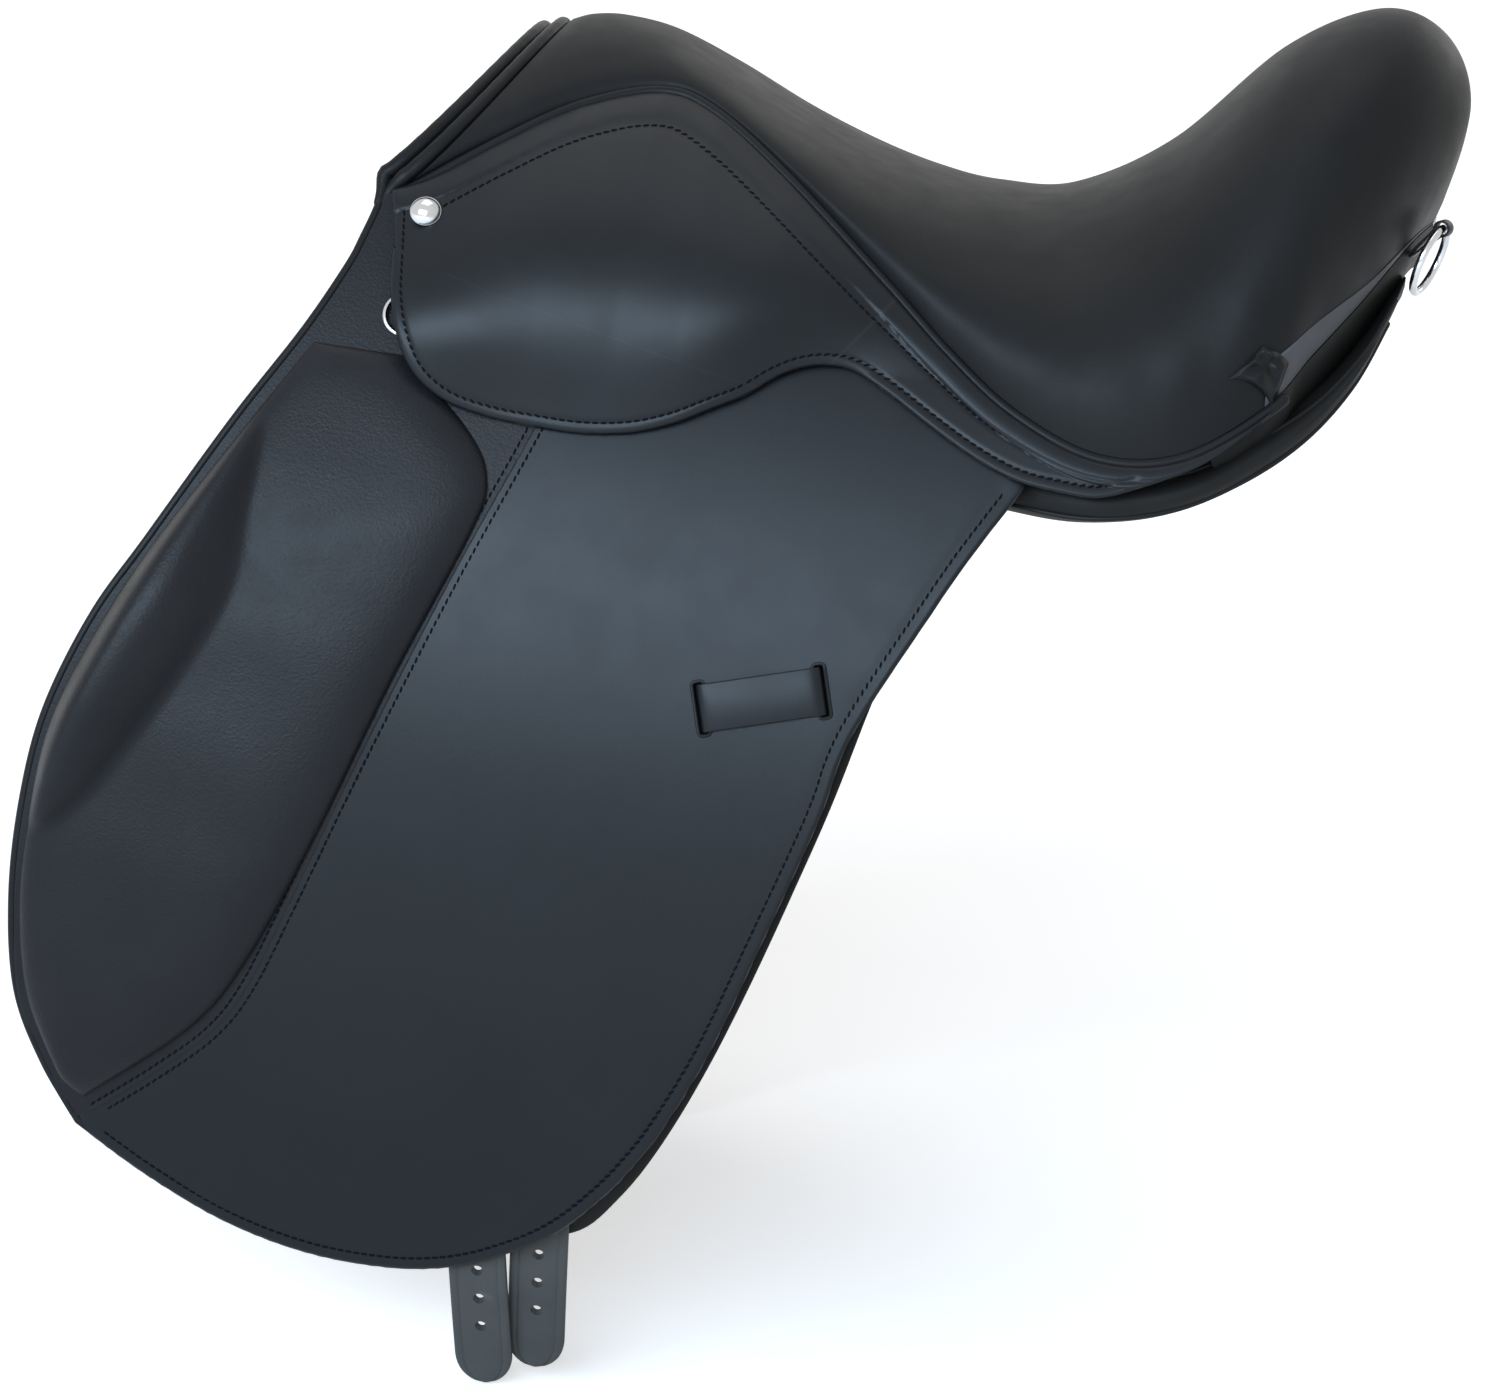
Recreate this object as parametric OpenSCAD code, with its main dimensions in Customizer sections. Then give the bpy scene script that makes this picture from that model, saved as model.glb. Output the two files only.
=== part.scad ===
// Dressage saddle: tree, stuffed seat, panels, draped flaps, girth straps and fittings.
// +X points to the cantle, +Z up, and the near side, which the rider mounts from, is at -Y.
// The origin is on the midline, on the plane where the panels bear, under the seat's lowest point.

/* [Seat] */
// Length of the seat from the pommel to the back of the cantle
seat_len = 420; // [390:1:440]
// Height of the pommel above the bearing plane
pommel_h = 171; // [164:1:182]
// Height of the seat's lowest point
seat_h = 122; // [116:1:128]
// Height of the cantle
cantle_h = 221; // [206:1:232]
// Thickness of the seat leather
cover_t = 3; // [2:0.5:4]
// Thickness of the seat foam
foam_t = 16; // [12:1:19]
// Diameter of the piped seam round the seat
welt_d = 4.4; // [3:0.2:5]
// Diameter of the rolled beads on the pommel
bead_d = 7; // [5:0.5:8]

/* [Draped leather] */
// Half width over the flaps where they are widest
drape_w = 195; // [185:1:210]
// Drop of the flaps below the bearing plane
flap_drop = 350; // [325:1:370]
// Thickness of the flaps
flap_t = 4.5; // [3.5:0.5:5.5]
// Thickness of the skirts
skirt_t = 3.5; // [2.5:0.5:4.5]
// Thickness of the sweat flaps
sweat_t = 3.5; // [2.5:0.5:4.5]
// Rise of the skirt where it covers the stirrup bar
bar_bulge = 9; // [8:0.5:12]
// Diameter of the rolled front edge of a flap
binding_d = 4; // [3:0.5:5]

/* [Knee pad] */
// Thickness of the knee pad
pad_h = 12; // [8:1:16]
// Height of the knee block above the pad
block_h = 22; // [14:1:28]

/* [Girth straps] */
// Width of a girth strap
billet_w = 25; // [22:1:28]
// Thickness of a girth strap
billet_t = 3.5; // [3:0.5:4]
// Length of the front girth strap below its stitching
front_billet_len = 430; // [405:1:440]
// Length of the rear girth strap below its stitching
rear_billet_len = 417; // [390:1:425]
// Diameter of a strap hole
strap_hole_d = 5; // [4:0.5:6]
// Distance between strap holes
strap_hole_pitch = 14; // [12:1:20]
// Number of holes in a strap
strap_holes = 6; // [3:1:8]
// Thickness of the webbing
web_t = 1.6; // [1:0.2:1.6]

/* [Panels] */
// Half width of the channel between the panels
channel_half = 36; // [30:1:42]
// Thickness of the lining over the channel
lining_t = 2; // [1:0.5:3]

/* [Tree] */
// Thickness of the wooden arch and seat pan
tree_t = 8; // [6:1:10]
// Thickness of the steel plate under the arch
plate_t = 3; // [2:0.5:4]
// Thickness of the tree's side bars
side_bar_t = 12; // [8:1:12]
// Thickness of the tree's springs
spring_t = 2; // [1:0.5:3]

/* [Fittings] */
// Diameter of a nail head
nail_d = 13; // [10:0.5:15]
// Outer diameter of a front ring
front_ring_d = 20; // [18:0.5:22]
// Wire of a front ring
front_wire_d = 2.5; // [2:0.5:3]
// Outer diameter of a rear ring
rear_ring_d = 33; // [28:1:36]
// Wire of a rear ring
rear_wire_d = 3.5; // [3:0.5:4]
// Length of a stirrup bar's plate
bar_len = 92; // [80:1:96]
// Diameter of the stirrup bar
bar_d = 5; // [4.4:0.2:5]
// Gap behind the stirrup bar, where the stirrup leather goes
bar_gap = 4.6; // [4.4:0.1:4.8]
// Diameter of the catch's pin
pin_d = 3; // [2:0.2:3.4]
// Width of the loop that keeps the stirrup leather's end
keeper_w = 20; // [16:1:24]
// Length of that loop between its slots
keeper_len = 46; // [36:1:56]
// Thickness of that loop
keeper_t = 2.5; // [1.5:0.5:2.5]

/* [Fits] */
// Gap between pieces that are sewn or glued together
sewn_gap = 0.3; // [0.2:0.05:0.4]
// Gap between leather layers that slide on each other
slide_gap = 0.8; // [0.6:0.1:1]
// Running clearance of a turning piece
run_gap = 0.05; // [0.04:0.01:0.1]

/* [Hidden] */
$fn = 48;

// Outlines are drawn at these sizes of the seat, the flap and the pommel, then stretched
drawn_len = 420;
drawn_drop = 350;
drawn_rise = 171;
function along(x) = x * seat_len / drawn_len;
function upright(z) = z < 0 ? z * flap_drop / drawn_drop : z * pommel_h / drawn_rise;
function place(p) = [along(p.x), upright(p.y)];
function places(list) = [for (p = list) place(p)];

// Smooth curve through a list of points, read at a place t counted in points
function cubic(a, b, c, d, u) =
    0.5 * (2 * b + (c - a) * u + (2 * a - 5 * b + 4 * c - d) * u * u + (3 * b - a - 3 * c + d) * u * u * u);
function curve(list, t) =
    let (last = len(list) - 1, k = min(max(floor(t), 0), last - 1), u = t - k)
    cubic(list[max(k - 1, 0)], list[k], list[k + 1], list[min(k + 2, last)], u);
function curve_points(list, steps) =
    [for (i = [0:(len(list) - 1) * steps]) curve(list, i / steps)];
function reversed(list) = [for (i = [len(list) - 1:-1:0]) list[i]];
function spread(a, b, n) = [for (i = [0:n]) a + (b - a) * i / n];

// Half width of the draped leather at a height, and how far it leans there
drawn_mid = -230;
drape_mid = upright(drawn_mid);
drape_rise = 1.05 * (pommel_h - drape_mid);
drape_power = 0.74;
function drape(z) = drape_w * pow(max(0.01, 1 - pow((z - drape_mid) / drape_rise, 2)), drape_power);
function lean(z) = atan((drape(z - 1) - drape(z + 1)) / 2);
function on_drape(p, off) = [p.x, -drape(p.y) - off, p.y];

// Leather layers, as offsets out from the drape
flap_out = flap_t;
skirt_in = flap_out + slide_gap;
skirt_out = skirt_in + skirt_t;
strap_slack = 0.5;
web_gap = 2 * sewn_gap;
front_billet_out = -slide_gap - strap_slack;
front_billet_in = front_billet_out - billet_t;
web_out = front_billet_in - web_gap;
web_in = web_out - web_t;
rear_billet_out = web_in - web_gap;
rear_billet_in = rear_billet_out - billet_t;
sweat_out = rear_billet_in - slide_gap;
sweat_in = sweat_out - sweat_t;
side_out = web_in - sewn_gap;
side_in = side_out - side_bar_t;

// Line that the flap and the skirt fold along, seen from the side
fold_front = place([-277, 79]);
fold_rear = place([13, 19]);
fold_slope = (fold_rear.y - fold_front.y) / (fold_rear.x - fold_front.x);
fold_gap = 0.6;
function fold_z(x) = fold_front.y + (x - fold_front.x) * fold_slope;

// Skirt bulges: over the stirrup bar, and over the front ring
bar_x = along(-160);
bar_above = 15;
bar_z = fold_z(bar_x) + bar_above;
front_ring_at = place([-252, 47]);
front_bulge_room = 4.2;
front_bulge = front_wire_d + front_bulge_room;
bulge_len = 80;
bulge_low = 16;
bulge_high = 32;
front_bulge_r = 26;
front_bulge_at = front_ring_at + [6, 4];
function bell(v, width) = exp(-pow(v / width, 2));
function bulge(x, z) =
    let (up = z - fold_z(x) - bar_above)
    bar_bulge * bell(x - bar_x, bulge_len) * bell(up, up < 0 ? bulge_low : bulge_high)
    + front_bulge * bell(x - front_bulge_at.x, front_bulge_r) * bell(z - front_bulge_at.y, front_bulge_r);
function on_skirt(p, off) = on_drape(p, off + bulge(p.x, p.y));

// Seam between the seat and the skirts, from the pommel round to the back of the cantle
seam = places([[-264, 98], [-230, 122], [-198, 141], [-164, 151], [-138, 145], [-101, 123], [-55, 90],
    [-26, 68], [4, 49], [40, 37], [74, 42], [106, 65], [122, 84], [141, 106], [160, 129], [171, 135]]);
seam_last = len(seam) - 1;
// Share of the drape's width that the seam has, less than one where it rounds the cantle
seam_share = [1, 1, 1, 1, 1, 1, 1, 1, 1, 1, 1, 1, 0.9, 0.76, 0.52, 0.14];
seam_off = skirt_out - slide_gap;
function seam_y(t) = curve(seam_share, t) * (drape(curve(seam, t).y) + seam_off);
function seam_slope(t) =
    let (a = curve(seam, max(t - 0.05, 0)), b = curve(seam, min(t + 0.05, seam_last)), d = b - a)
    d / norm(d);
// A place below the seam, square to it and on the drape
function below_seam(t, down) =
    let (p = curve(seam, t), d = seam_slope(t))
    [p.x + d.y * down, p.y - d.x * down];

// Crest of the seat on the midline: x, and height as a share of the way up to pommel or cantle
crest_front = [[-214, 0.9], [-205, 0.97], [-191, 1], [-171, 0.94], [-143, 0.71], [-110, 0.41], [-73, 0.16],
    [-45, 0.04], [-18, 0]];
crest_rear = [[15, 0.04], [55, 0.3], [97, 0.78], [135, 1], [163, 0.93], [178, 0.66], [174, 0.24]];
crest = concat(
    [for (p = crest_front) [along(p.x), seat_h + p.y * (pommel_h - seat_h)]],
    [for (p = crest_rear) [along(p.x), seat_h + p.y * (cantle_h - seat_h)]]);
// Sections are peaked at the pommel and full behind it
pommel_power = 1.45;
seat_power = 0.8;
peak_reach = 3;
function section_power(t) = seat_power + (pommel_power - seat_power) * bell(t, peak_reach);
// The front edge sweeps back before it rises
sweep_power = 0.85;
sweep_reach = 1.5;
function rearward(g, t) = pow(g, 1 - (1 - sweep_power) * bell(t, sweep_reach));

// A point of the seat: t along the seam, angle across from -90 to 90, depth below the leather, and
// how far it hangs below that. Layers thin out where the seat is shallow, so none sinks past the seam.
function sunk(depth, room) = room * (1 - exp(-depth / room));
function seat_point(t, angle, depth, hang = 0) =
    let (b = curve(seam, t), c = curve(crest, t), g = pow(max(cos(angle), 0), section_power(t)),
        rise = c.y - b.y - sunk(depth, c.y - b.y) - hang)
    [b.x + (c.x - b.x) * rearward(g, t), (seam_y(t) - depth) * sin(angle), b.y + rise * g];
function seat_grid(ts, angles, depth, hang = 0) =
    [for (t = ts) [for (a = angles) seat_point(t, a, depth, hang)]];

// Closed solid between two grids of points of the same size
module shell(outer, inner) {
    rows = len(outer);
    cols = len(outer[0]);
    function id(side, i, j) = (side * rows + i) * cols + j;
    points = [for (grid = [outer, inner]) for (row = grid) for (p = row) p];
    function quad(a, b, c, d) = [[a, b, c], [a, c, d]];
    skins = [for (i = [0:rows - 2]) for (j = [0:cols - 2]) each concat(
        quad(id(0, i, j), id(0, i, j + 1), id(0, i + 1, j + 1), id(0, i + 1, j)),
        quad(id(1, i, j), id(1, i + 1, j), id(1, i + 1, j + 1), id(1, i, j + 1)))];
    ends = [for (j = [0:cols - 2]) each concat(
        quad(id(0, 0, j), id(1, 0, j), id(1, 0, j + 1), id(0, 0, j + 1)),
        quad(id(0, rows - 1, j), id(0, rows - 1, j + 1), id(1, rows - 1, j + 1), id(1, rows - 1, j)))];
    sides = [for (i = [0:rows - 2]) each concat(
        quad(id(0, i, 0), id(0, i + 1, 0), id(1, i + 1, 0), id(1, i, 0)),
        quad(id(0, i, cols - 1), id(1, i, cols - 1), id(1, i + 1, cols - 1), id(0, i + 1, cols - 1)))];
    polyhedron(points, concat(skins, ends, sides));
}

// Closed solid through a list of rings of points, with a flat fan on each end
module loft(rings) {
    n = len(rings[0]);
    last = len(rings) - 1;
    function middle(ring) = [for (k = [0:2]) [for (p = ring) p[k]] * [for (p = ring) 1] / n];
    points = concat([for (ring = rings) each ring], [middle(rings[0]), middle(rings[last])]);
    walls = [for (i = [0:last - 1]) for (j = [0:n - 1])
        let (k = (j + 1) % n, a = i * n + j, b = i * n + k, c = (i + 1) * n + k, d = (i + 1) * n + j)
        each [[a, c, b], [a, d, c]]];
    first_cap = [for (j = [0:n - 1]) [n * (last + 1), j, (j + 1) % n]];
    last_cap = [for (j = [0:n - 1]) [n * (last + 1) + 1, last * n + (j + 1) % n, last * n + j]];
    polyhedron(points, concat(walls, first_cap, last_cap));
}

// Round cord along a path of points, with rings square to the path
module roll(path, d, sides) {
    last = len(path) - 1;
    function heading(i) = let (v = path[min(i + 1, last)] - path[max(i - 1, 0)]) v / norm(v);
    function unit(v) = v / norm(v);
    rings = [for (i = [0:last])
        let (f = heading(i), a = unit(cross(f, [0.2, 1, 0.1])), b = cross(f, a))
        [for (k = [0:sides - 1]) path[i] + d / 2 * (a * cos(360 * k / sides) + b * sin(360 * k / sides))]];
    loft(rings);
}

// Flat leather on the drape, cut to an outline that is seen from the side
module sheet(outline, inner, outer) {
    reach = 30;
    spare = 5;
    facet = 16;
    zs = [for (p = outline) p.y];
    low = min(zs) - spare;
    high = min(max(zs) + spare, drape_mid + 0.97 * drape_rise);
    steps = ceil((high - low) / facet);
    heights = spread(low, high, steps);
    xs = [for (p = outline) p.x];
    intersection() {
        rotate([90, 0, 0]) linear_extrude(drape_w + reach) polygon(outline);
        translate([min(xs) - reach, 0, 0]) rotate([90, 0, 90]) linear_extrude(max(xs) - min(xs) + 2 * reach)
            polygon(concat([for (z = heights) [-drape(z) - outer, z]],
                reversed([for (z = heights) [-drape(z) - inner, z]])));
    }
}

// Frame on the near side's leather: z outward, x along, y up the leather
module on_side(p, off, spin = 0) {
    translate(on_drape(p, off)) rotate([90 - lean(p.y), 0, 0]) rotate([0, 0, spin]) children();
}
module off_side() {
    mirror([0, 1, 0]) children();
}

// Seat

// All layers of the seat share one net of places, so that their facets nest
seat_end = seam_last - 0.1;
seat_steps = spread(0, seat_end, 30);
function steps_between(from, to) = [for (t = seat_steps) if (t >= from && t <= to) t];
function angles_within(count) = [for (k = [-count:count]) 90 * sin(k * 90 / 8)];
seat_angles = angles_within(8);
foam_from = 0.3;
foam_to = seam_last - 1.5;
foam_bottom = cover_t + sewn_gap + foam_t;
module seat_cover() {
    color("#2b2b2d")
        shell(seat_grid(seat_steps, seat_angles, 0), seat_grid(seat_steps, seat_angles, cover_t));
}
module seat_foam() {
    ts = steps_between(foam_from, foam_to);
    color("#c9bfa4")
        shell(seat_grid(ts, seat_angles, cover_t + sewn_gap), seat_grid(ts, seat_angles, foam_bottom));
}

// Tree: arch, steel plate, side bars, springs, webs and seat pan
tree_top = foam_bottom + sewn_gap;
arch_to = 2.6;
plate_to = 2;
pan_from = 7.9;
module tree_layer(from, to, top, thick) {
    ts = steps_between(from, to);
    shell(seat_grid(ts, seat_angles, top), seat_grid(ts, seat_angles, top + thick));
}
module head_arch() {
    color("#b98f5a") tree_layer(foam_from, arch_to, tree_top, tree_t);
}
module gullet_plate() {
    color("#7d8288") tree_layer(foam_from, plate_to, tree_top + tree_t + sewn_gap, plate_t);
}
module seat_pan() {
    color("#b98f5a") tree_layer(pan_from, foam_to, tree_top, tree_t);
}
// Web and springs between the arch and the pan hang under the foam
hung_steps = steps_between(arch_to, pan_from);
hung_angles = angles_within(3);
module hung_strip(angles, top, thick) {
    shell(seat_grid(hung_steps, angles, tree_top, top), seat_grid(hung_steps, angles, tree_top, top + thick));
}
module seat_web() {
    color("#d8d2bd") hung_strip(hung_angles, 0, web_t);
}
module tree_springs() {
    color("#8a8f96") for (k = [1, 4])
        hung_strip([hung_angles[k], hung_angles[k + 1]], web_t + sewn_gap, spring_t);
}
// Side bar of the tree, with the point that runs down beside the withers at the front
side_bar_drop = 5;
side_bar_low = places([[-3, 38], [-26, 48], [-55, 62], [-88, 72], [-112, 54], [-180, 46], [-252, 51]]);
module tree_side() {
    top = [for (t = spread(foam_from, pan_from, 16)) below_seam(t, side_bar_drop)];
    difference() {
        sheet(concat(top, curve_points(side_bar_low, 3)), side_in, side_out);
        bar_holes();
    }
}
module tree_side_left() {
    color("#b98f5a") tree_side();
}
module tree_side_right() {
    off_side() tree_side_left();
}

// Piped seam and pommel beads
welt_drop = welt_d / 2 + 1.5 * sewn_gap;
edge_from = 0.05;
welt_to = 11.2;
module seat_welt_left() {
    path = [for (t = spread(edge_from, welt_to, 40))
        on_drape(below_seam(t, welt_drop), seam_off - welt_d / 2)];
    color("#1d1d20") roll(path, welt_d, 6);
}
module seat_welt_right() {
    off_side() seat_welt_left();
}
bead_reach = 84;
bead_step_down = 3;
bead_angles = spread(-bead_reach, bead_reach, 28);
bead_ahead = bead_d * 1.5 + slide_gap + 5 * sewn_gap;
module pommel_bead(ahead, depth) {
    path = [for (a = bead_angles) seat_point(0, a, depth) - [ahead, 0, 0]];
    roll(path, bead_d, 8);
}
module pommel_bead_rear() {
    color("#232326") pommel_bead(bead_d / 2 + slide_gap + sewn_gap, bead_d / 2);
}
module pommel_bead_front() {
    color("#232326") pommel_bead(bead_ahead, bead_d / 2 + bead_step_down);
}

// Cantle: the strip below the seat's rear edge, and the sewn tab on each corner
facing_h = 8;
facing_t = 2;
facing_from = 11.4;
module cantle_facing() {
    ts = steps_between(facing_from, seat_end);
    function on_seam(t) = [curve(seam, t).x, -seam_y(t), curve(seam, t).y];
    function unit(v) = v / norm(v);
    // The strip falls square to the seam, and its inner side keeps below the seat's rising rim
    function strip(t, side, down, deep) =
        let (run = unit(on_seam(min(t + 0.05, seam_last)) - on_seam(t - 0.05)),
            fall = unit(run * run.z - [0, 0, 1]), inward = cross(run, fall),
            rim_drop = -inward.x * deep * run.z / run.x,
            p = on_seam(t) + fall * down + inward * deep - [0, 0, rim_drop])
        [p.x, -side * p.y, p.z];
    stations = concat([for (t = ts) [t, -1]], [for (t = reversed(ts)) [t, 1]]);
    downs = [facing_h, slide_gap];
    color("#5e5e60") shell(
        [for (s = stations) [for (d = downs) strip(s[0], s[1], d, 0)]],
        [for (s = stations) [for (d = downs) strip(s[0], s[1], d, facing_t)]]);
}
tab_t = 1.5;
tab_from = 10.75;
tab_len = 0.55;
tab_angles = [-89, -84];
module cantle_tab_left() {
    ts = spread(tab_from, tab_from + tab_len, 3);
    angles = spread(tab_angles[0], tab_angles[1], 3);
    color("#2a2a2c")
        shell(seat_grid(ts, angles, -sewn_gap - tab_t), seat_grid(ts, angles, -sewn_gap));
}
module cantle_tab_right() {
    off_side() cantle_tab_left();
}

// Skirts: the sewn part above the fold line, and the lobe below it that lifts
skirt_low = places([[-266, 93], [-262, 75], [-258, 57], [-252, 42], [-243, 29], [-229, 20], [-211, 16],
    [-193, 15], [-172, 15], [-152, 18], [-135, 24], [-120, 32], [-107, 39], [-95, 48], [-85, 53], [-75, 55],
    [-64, 54], [-48, 47], [-29, 37], [-10, 28], [8, 22], [26, 20], [43, 20], [59, 25], [85, 36], [111, 56]]);
skirt_top_drop = welt_d + 3 * sewn_gap;
skirt_tail = 11;
// Places along the skirt's low edge where the lobe starts and ends, and the share of the skirt over it
lobe_from = 1.1;
lobe_to = 12.4;
lobe_share = 0.44;
lobe_clear = 1;
module skirt_patch(tops, lows, rows) {
    function at(i, v) = tops[i] + (lows[i] - tops[i]) * v;
    vs = spread(1, 0, rows);
    shell([for (i = [0:len(tops) - 1]) [for (v = vs) on_skirt(at(i, v), skirt_out)]],
        [for (i = [0:len(tops) - 1]) [for (v = vs) on_skirt(at(i, v), skirt_in)]]);
}
module skirt_left() {
    ts = spread(edge_from, skirt_tail, 34);
    tops = [for (t = ts) below_seam(t, skirt_top_drop)];
    // Below each top place lies the fold line in front, and the skirt's own edge behind the lobe
    low_end = len(skirt_low) - 1;
    tail_at = (skirt_tail - edge_from) * lobe_share;
    function low_place(t) =
        t < tail_at ? let (a = skirt_low[1].x, x = a + (curve(skirt_low, lobe_to).x - a) * t / tail_at)
            [x, fold_z(x) + fold_gap / 2]
        : curve(skirt_low, lobe_to + (low_end - lobe_to) * (t - tail_at) / (skirt_tail - tail_at));
    lows = [for (t = ts) low_place(t)];
    color("#2e3035") skirt_patch(tops, lows, 6);
}
module skirt_right() {
    off_side() skirt_left();
}
module skirt_lobe_left() {
    ks = spread(lobe_from, lobe_to - lobe_clear / 4, 22);
    lows = [for (k = ks) curve(skirt_low, k)];
    front = skirt_low[1].x;
    rear = curve(skirt_low, lobe_to).x - lobe_clear;
    tops = [for (i = [0:len(ks) - 1])
        let (x = front + (rear - front) * i / (len(ks) - 1)) [x, fold_z(x) - fold_gap / 2]];
    color("#2e3035") skirt_patch(tops, lows, 4);
}
module skirt_lobe_right() {
    off_side() skirt_lobe_left();
}

// Flap: the head above the fold line is nailed to the tree, the rest lifts
flap_front = places([[-277, 78], [-281, 67], [-295, 38], [-317, 0], [-344, -51], [-362, -85], [-376, -126],
    [-381, -165], [-381, -207], [-375, -248], [-361, -279], [-344, -304]]);
flap_low = places([[-344, -304], [-313, -323], [-277, -340], [-241, -349], [-206, -350], [-179, -345],
    [-157, -335], [-134, -319], [-113, -294], [-98, -269]]);
flap_rear = places([[-98, -269], [-82, -230], [-66, -177], [-50, -122], [-42, -87], [-17, -34], [-4, -9],
    [12, 18]]);
head_top = places([[12, 21], [-15, 42], [-55, 66], [-100, 90], [-160, 112], [-228, 101], [-266, 90],
    [-276, 81]]);
function lower_fold(p) = [p.x, min(p.y, fold_z(p.x) - fold_gap / 2)];
function raise_fold(p) = [p.x, max(p.y, fold_z(p.x) + fold_gap / 2)];
// A place beside the flap's front edge, inside it
function inside_front(t, deep) =
    let (last = len(flap_front) - 1, p = curve(flap_front, t),
        d = curve(flap_front, min(t + 0.05, last)) - curve(flap_front, max(t - 0.05, 0)))
    p + [-d.y, d.x] / norm(d) * deep;
function joined(a, b) = concat(a, [for (i = [1:len(b) - 1]) b[i]]);
flap_front_edge = [for (t = spread(0, len(flap_front) - 1, 3 * len(flap_front) - 3))
    inside_front(t, binding_d + sewn_gap)];
flap_outline = [for (p = joined(joined(flap_front_edge, curve_points(flap_low, 3)),
    curve_points(flap_rear, 3))) lower_fold(p)];
head_outline = [for (p = curve_points(head_top, 3)) raise_fold(p)];
module flap_left() {
    color("#34383d") difference() {
        sheet(flap_outline, 0, flap_out);
        keeper_slots();
    }
}
module flap_right() {
    off_side() flap_left();
}
module flap_head_left() {
    color("#34383d") difference() {
        sheet(head_outline, 0, flap_out);
        bar_window();
    }
}
module flap_head_right() {
    off_side() flap_head_left();
}
// Rolled edge along the front of the flap, down to its lowest front corner
binding_from = 0.4;
module flap_binding_left() {
    path = [for (t = spread(binding_from, len(flap_front) - 1.1, 34))
        on_drape(inside_front(t, binding_d / 2), flap_out / 2)];
    color("#232326") roll(path, binding_d, 6);
}
module flap_binding_right() {
    off_side() flap_binding_left();
}

// Knee pad and the knee block on it
pad_front = places([[-288, 34], [-311, -4], [-340, -54], [-358, -92], [-371, -130], [-375, -170],
    [-375, -208], [-369, -246], [-355, -276]]);
pad_rear = places([[-250, 34], [-219, 10], [-207, -8], [-210, -30], [-232, -90], [-255, -160], [-278, -219],
    [-298, -250], [-332, -286]]);
pad_last = len(pad_front) - 1;
pad_edge = 1.5;
function pad_place(v, u) =
    let (a = curve(pad_front, v), b = curve(pad_rear, v)) a + (b - a) * u;
// Height over the flap: full in the middle, drawn in at the sewn edges
function crown(k) = 1 - pow(abs(2 * k - 1), 4);
function pad_rise(v, u) = pad_edge + (pad_h - pad_edge) * pow(crown(v / pad_last) * crown(u), 0.6);
block_from = 0.8;
block_to = 5.1;
// Width of the block as a share of the pad's: widest in the middle of its length
function block_share(v) = 0.05 + 0.31 * pow(sin(180 * (v - block_from) / (block_to - block_from)), 0.6);
function block_rise(v, m) =
    let (k = (v - block_from) / (block_to - block_from))
    pad_edge + (block_h - pad_edge) * pow(crown(k) * crown(m), 0.7);
module knee_pad_left() {
    vs = spread(0, pad_last, 18);
    us = spread(0, 1, 10);
    base = flap_out + sewn_gap;
    color("#3a3b42") shell(
        [for (v = vs) [for (u = us) on_drape(pad_place(v, u), base + pad_rise(v, u))]],
        [for (v = vs) [for (u = us) on_drape(pad_place(v, u), base)]]);
}
module knee_pad_right() {
    off_side() knee_pad_left();
}
module knee_block_left() {
    vs = spread(block_from, block_to, 12);
    ms = spread(0.02, 1, 6);
    base = flap_out + 2 * sewn_gap + slide_gap;
    function point(v, m, up) =
        let (u = m * block_share(v))
        on_drape(pad_place(v, u), base + pad_rise(v, u) + up * block_rise(v, m));
    color("#3a3b42") shell(
        [for (v = vs) [for (m = ms) point(v, m, 1)]],
        [for (v = vs) [for (m = ms) point(v, m, 0)]]);
}
module knee_block_right() {
    off_side() knee_block_left();
}

// Keeper: a strap through two slots in the flap
keeper_at = place([-81, -79]);
keeper_spin = 17;
keeper_foot = 9;
slot_w = keeper_t + 2 * slide_gap;
keeper_lift = 1;
module keeper_slots() {
    on_side(keeper_at, 0, keeper_spin) for (side = [-1, 1])
        translate([side * (keeper_len + slot_w) / 2, 0, 0])
            cube([slot_w, keeper_w + 2 * slide_gap, 4 * flap_t], center = true);
}
module keeper_left() {
    top = flap_out * cos(lean(keeper_at.y)) + keeper_lift;
    bottom = -sewn_gap - keeper_t;
    reach = (keeper_len + slot_w + keeper_t) / 2;
    color("#2a2b2e") on_side(keeper_at, 0, keeper_spin) translate([0, -keeper_w / 2, 0]) {
        translate([-reach, 0, top]) cube([2 * reach, keeper_w, keeper_t]);
        for (side = [0, 1]) mirror([side, 0, 0]) {
            translate([reach - keeper_t, 0, bottom]) cube([keeper_t, keeper_w, top + keeper_t - bottom]);
            translate([reach - keeper_foot, 0, bottom]) cube([keeper_foot, keeper_w, keeper_t]);
        }
    }
}
module keeper_right() {
    off_side() keeper_left();
}

// Sweat flap, between the girth straps and the horse
sweat_edge = places([[-260, 30], [-303, -40], [-328, -125], [-322, -220], [-285, -290], [-215, -328],
    [-140, -329], [-110, -303], [-81, -238], [-51, -138], [-37, -80], [-24, -25], [-18, 22]]);
module sweat_flap_left() {
    color("#2c2a29") sheet(curve_points(sweat_edge, 3), sweat_in, sweat_out);
}
module sweat_flap_right() {
    off_side() sweat_flap_left();
}

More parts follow.
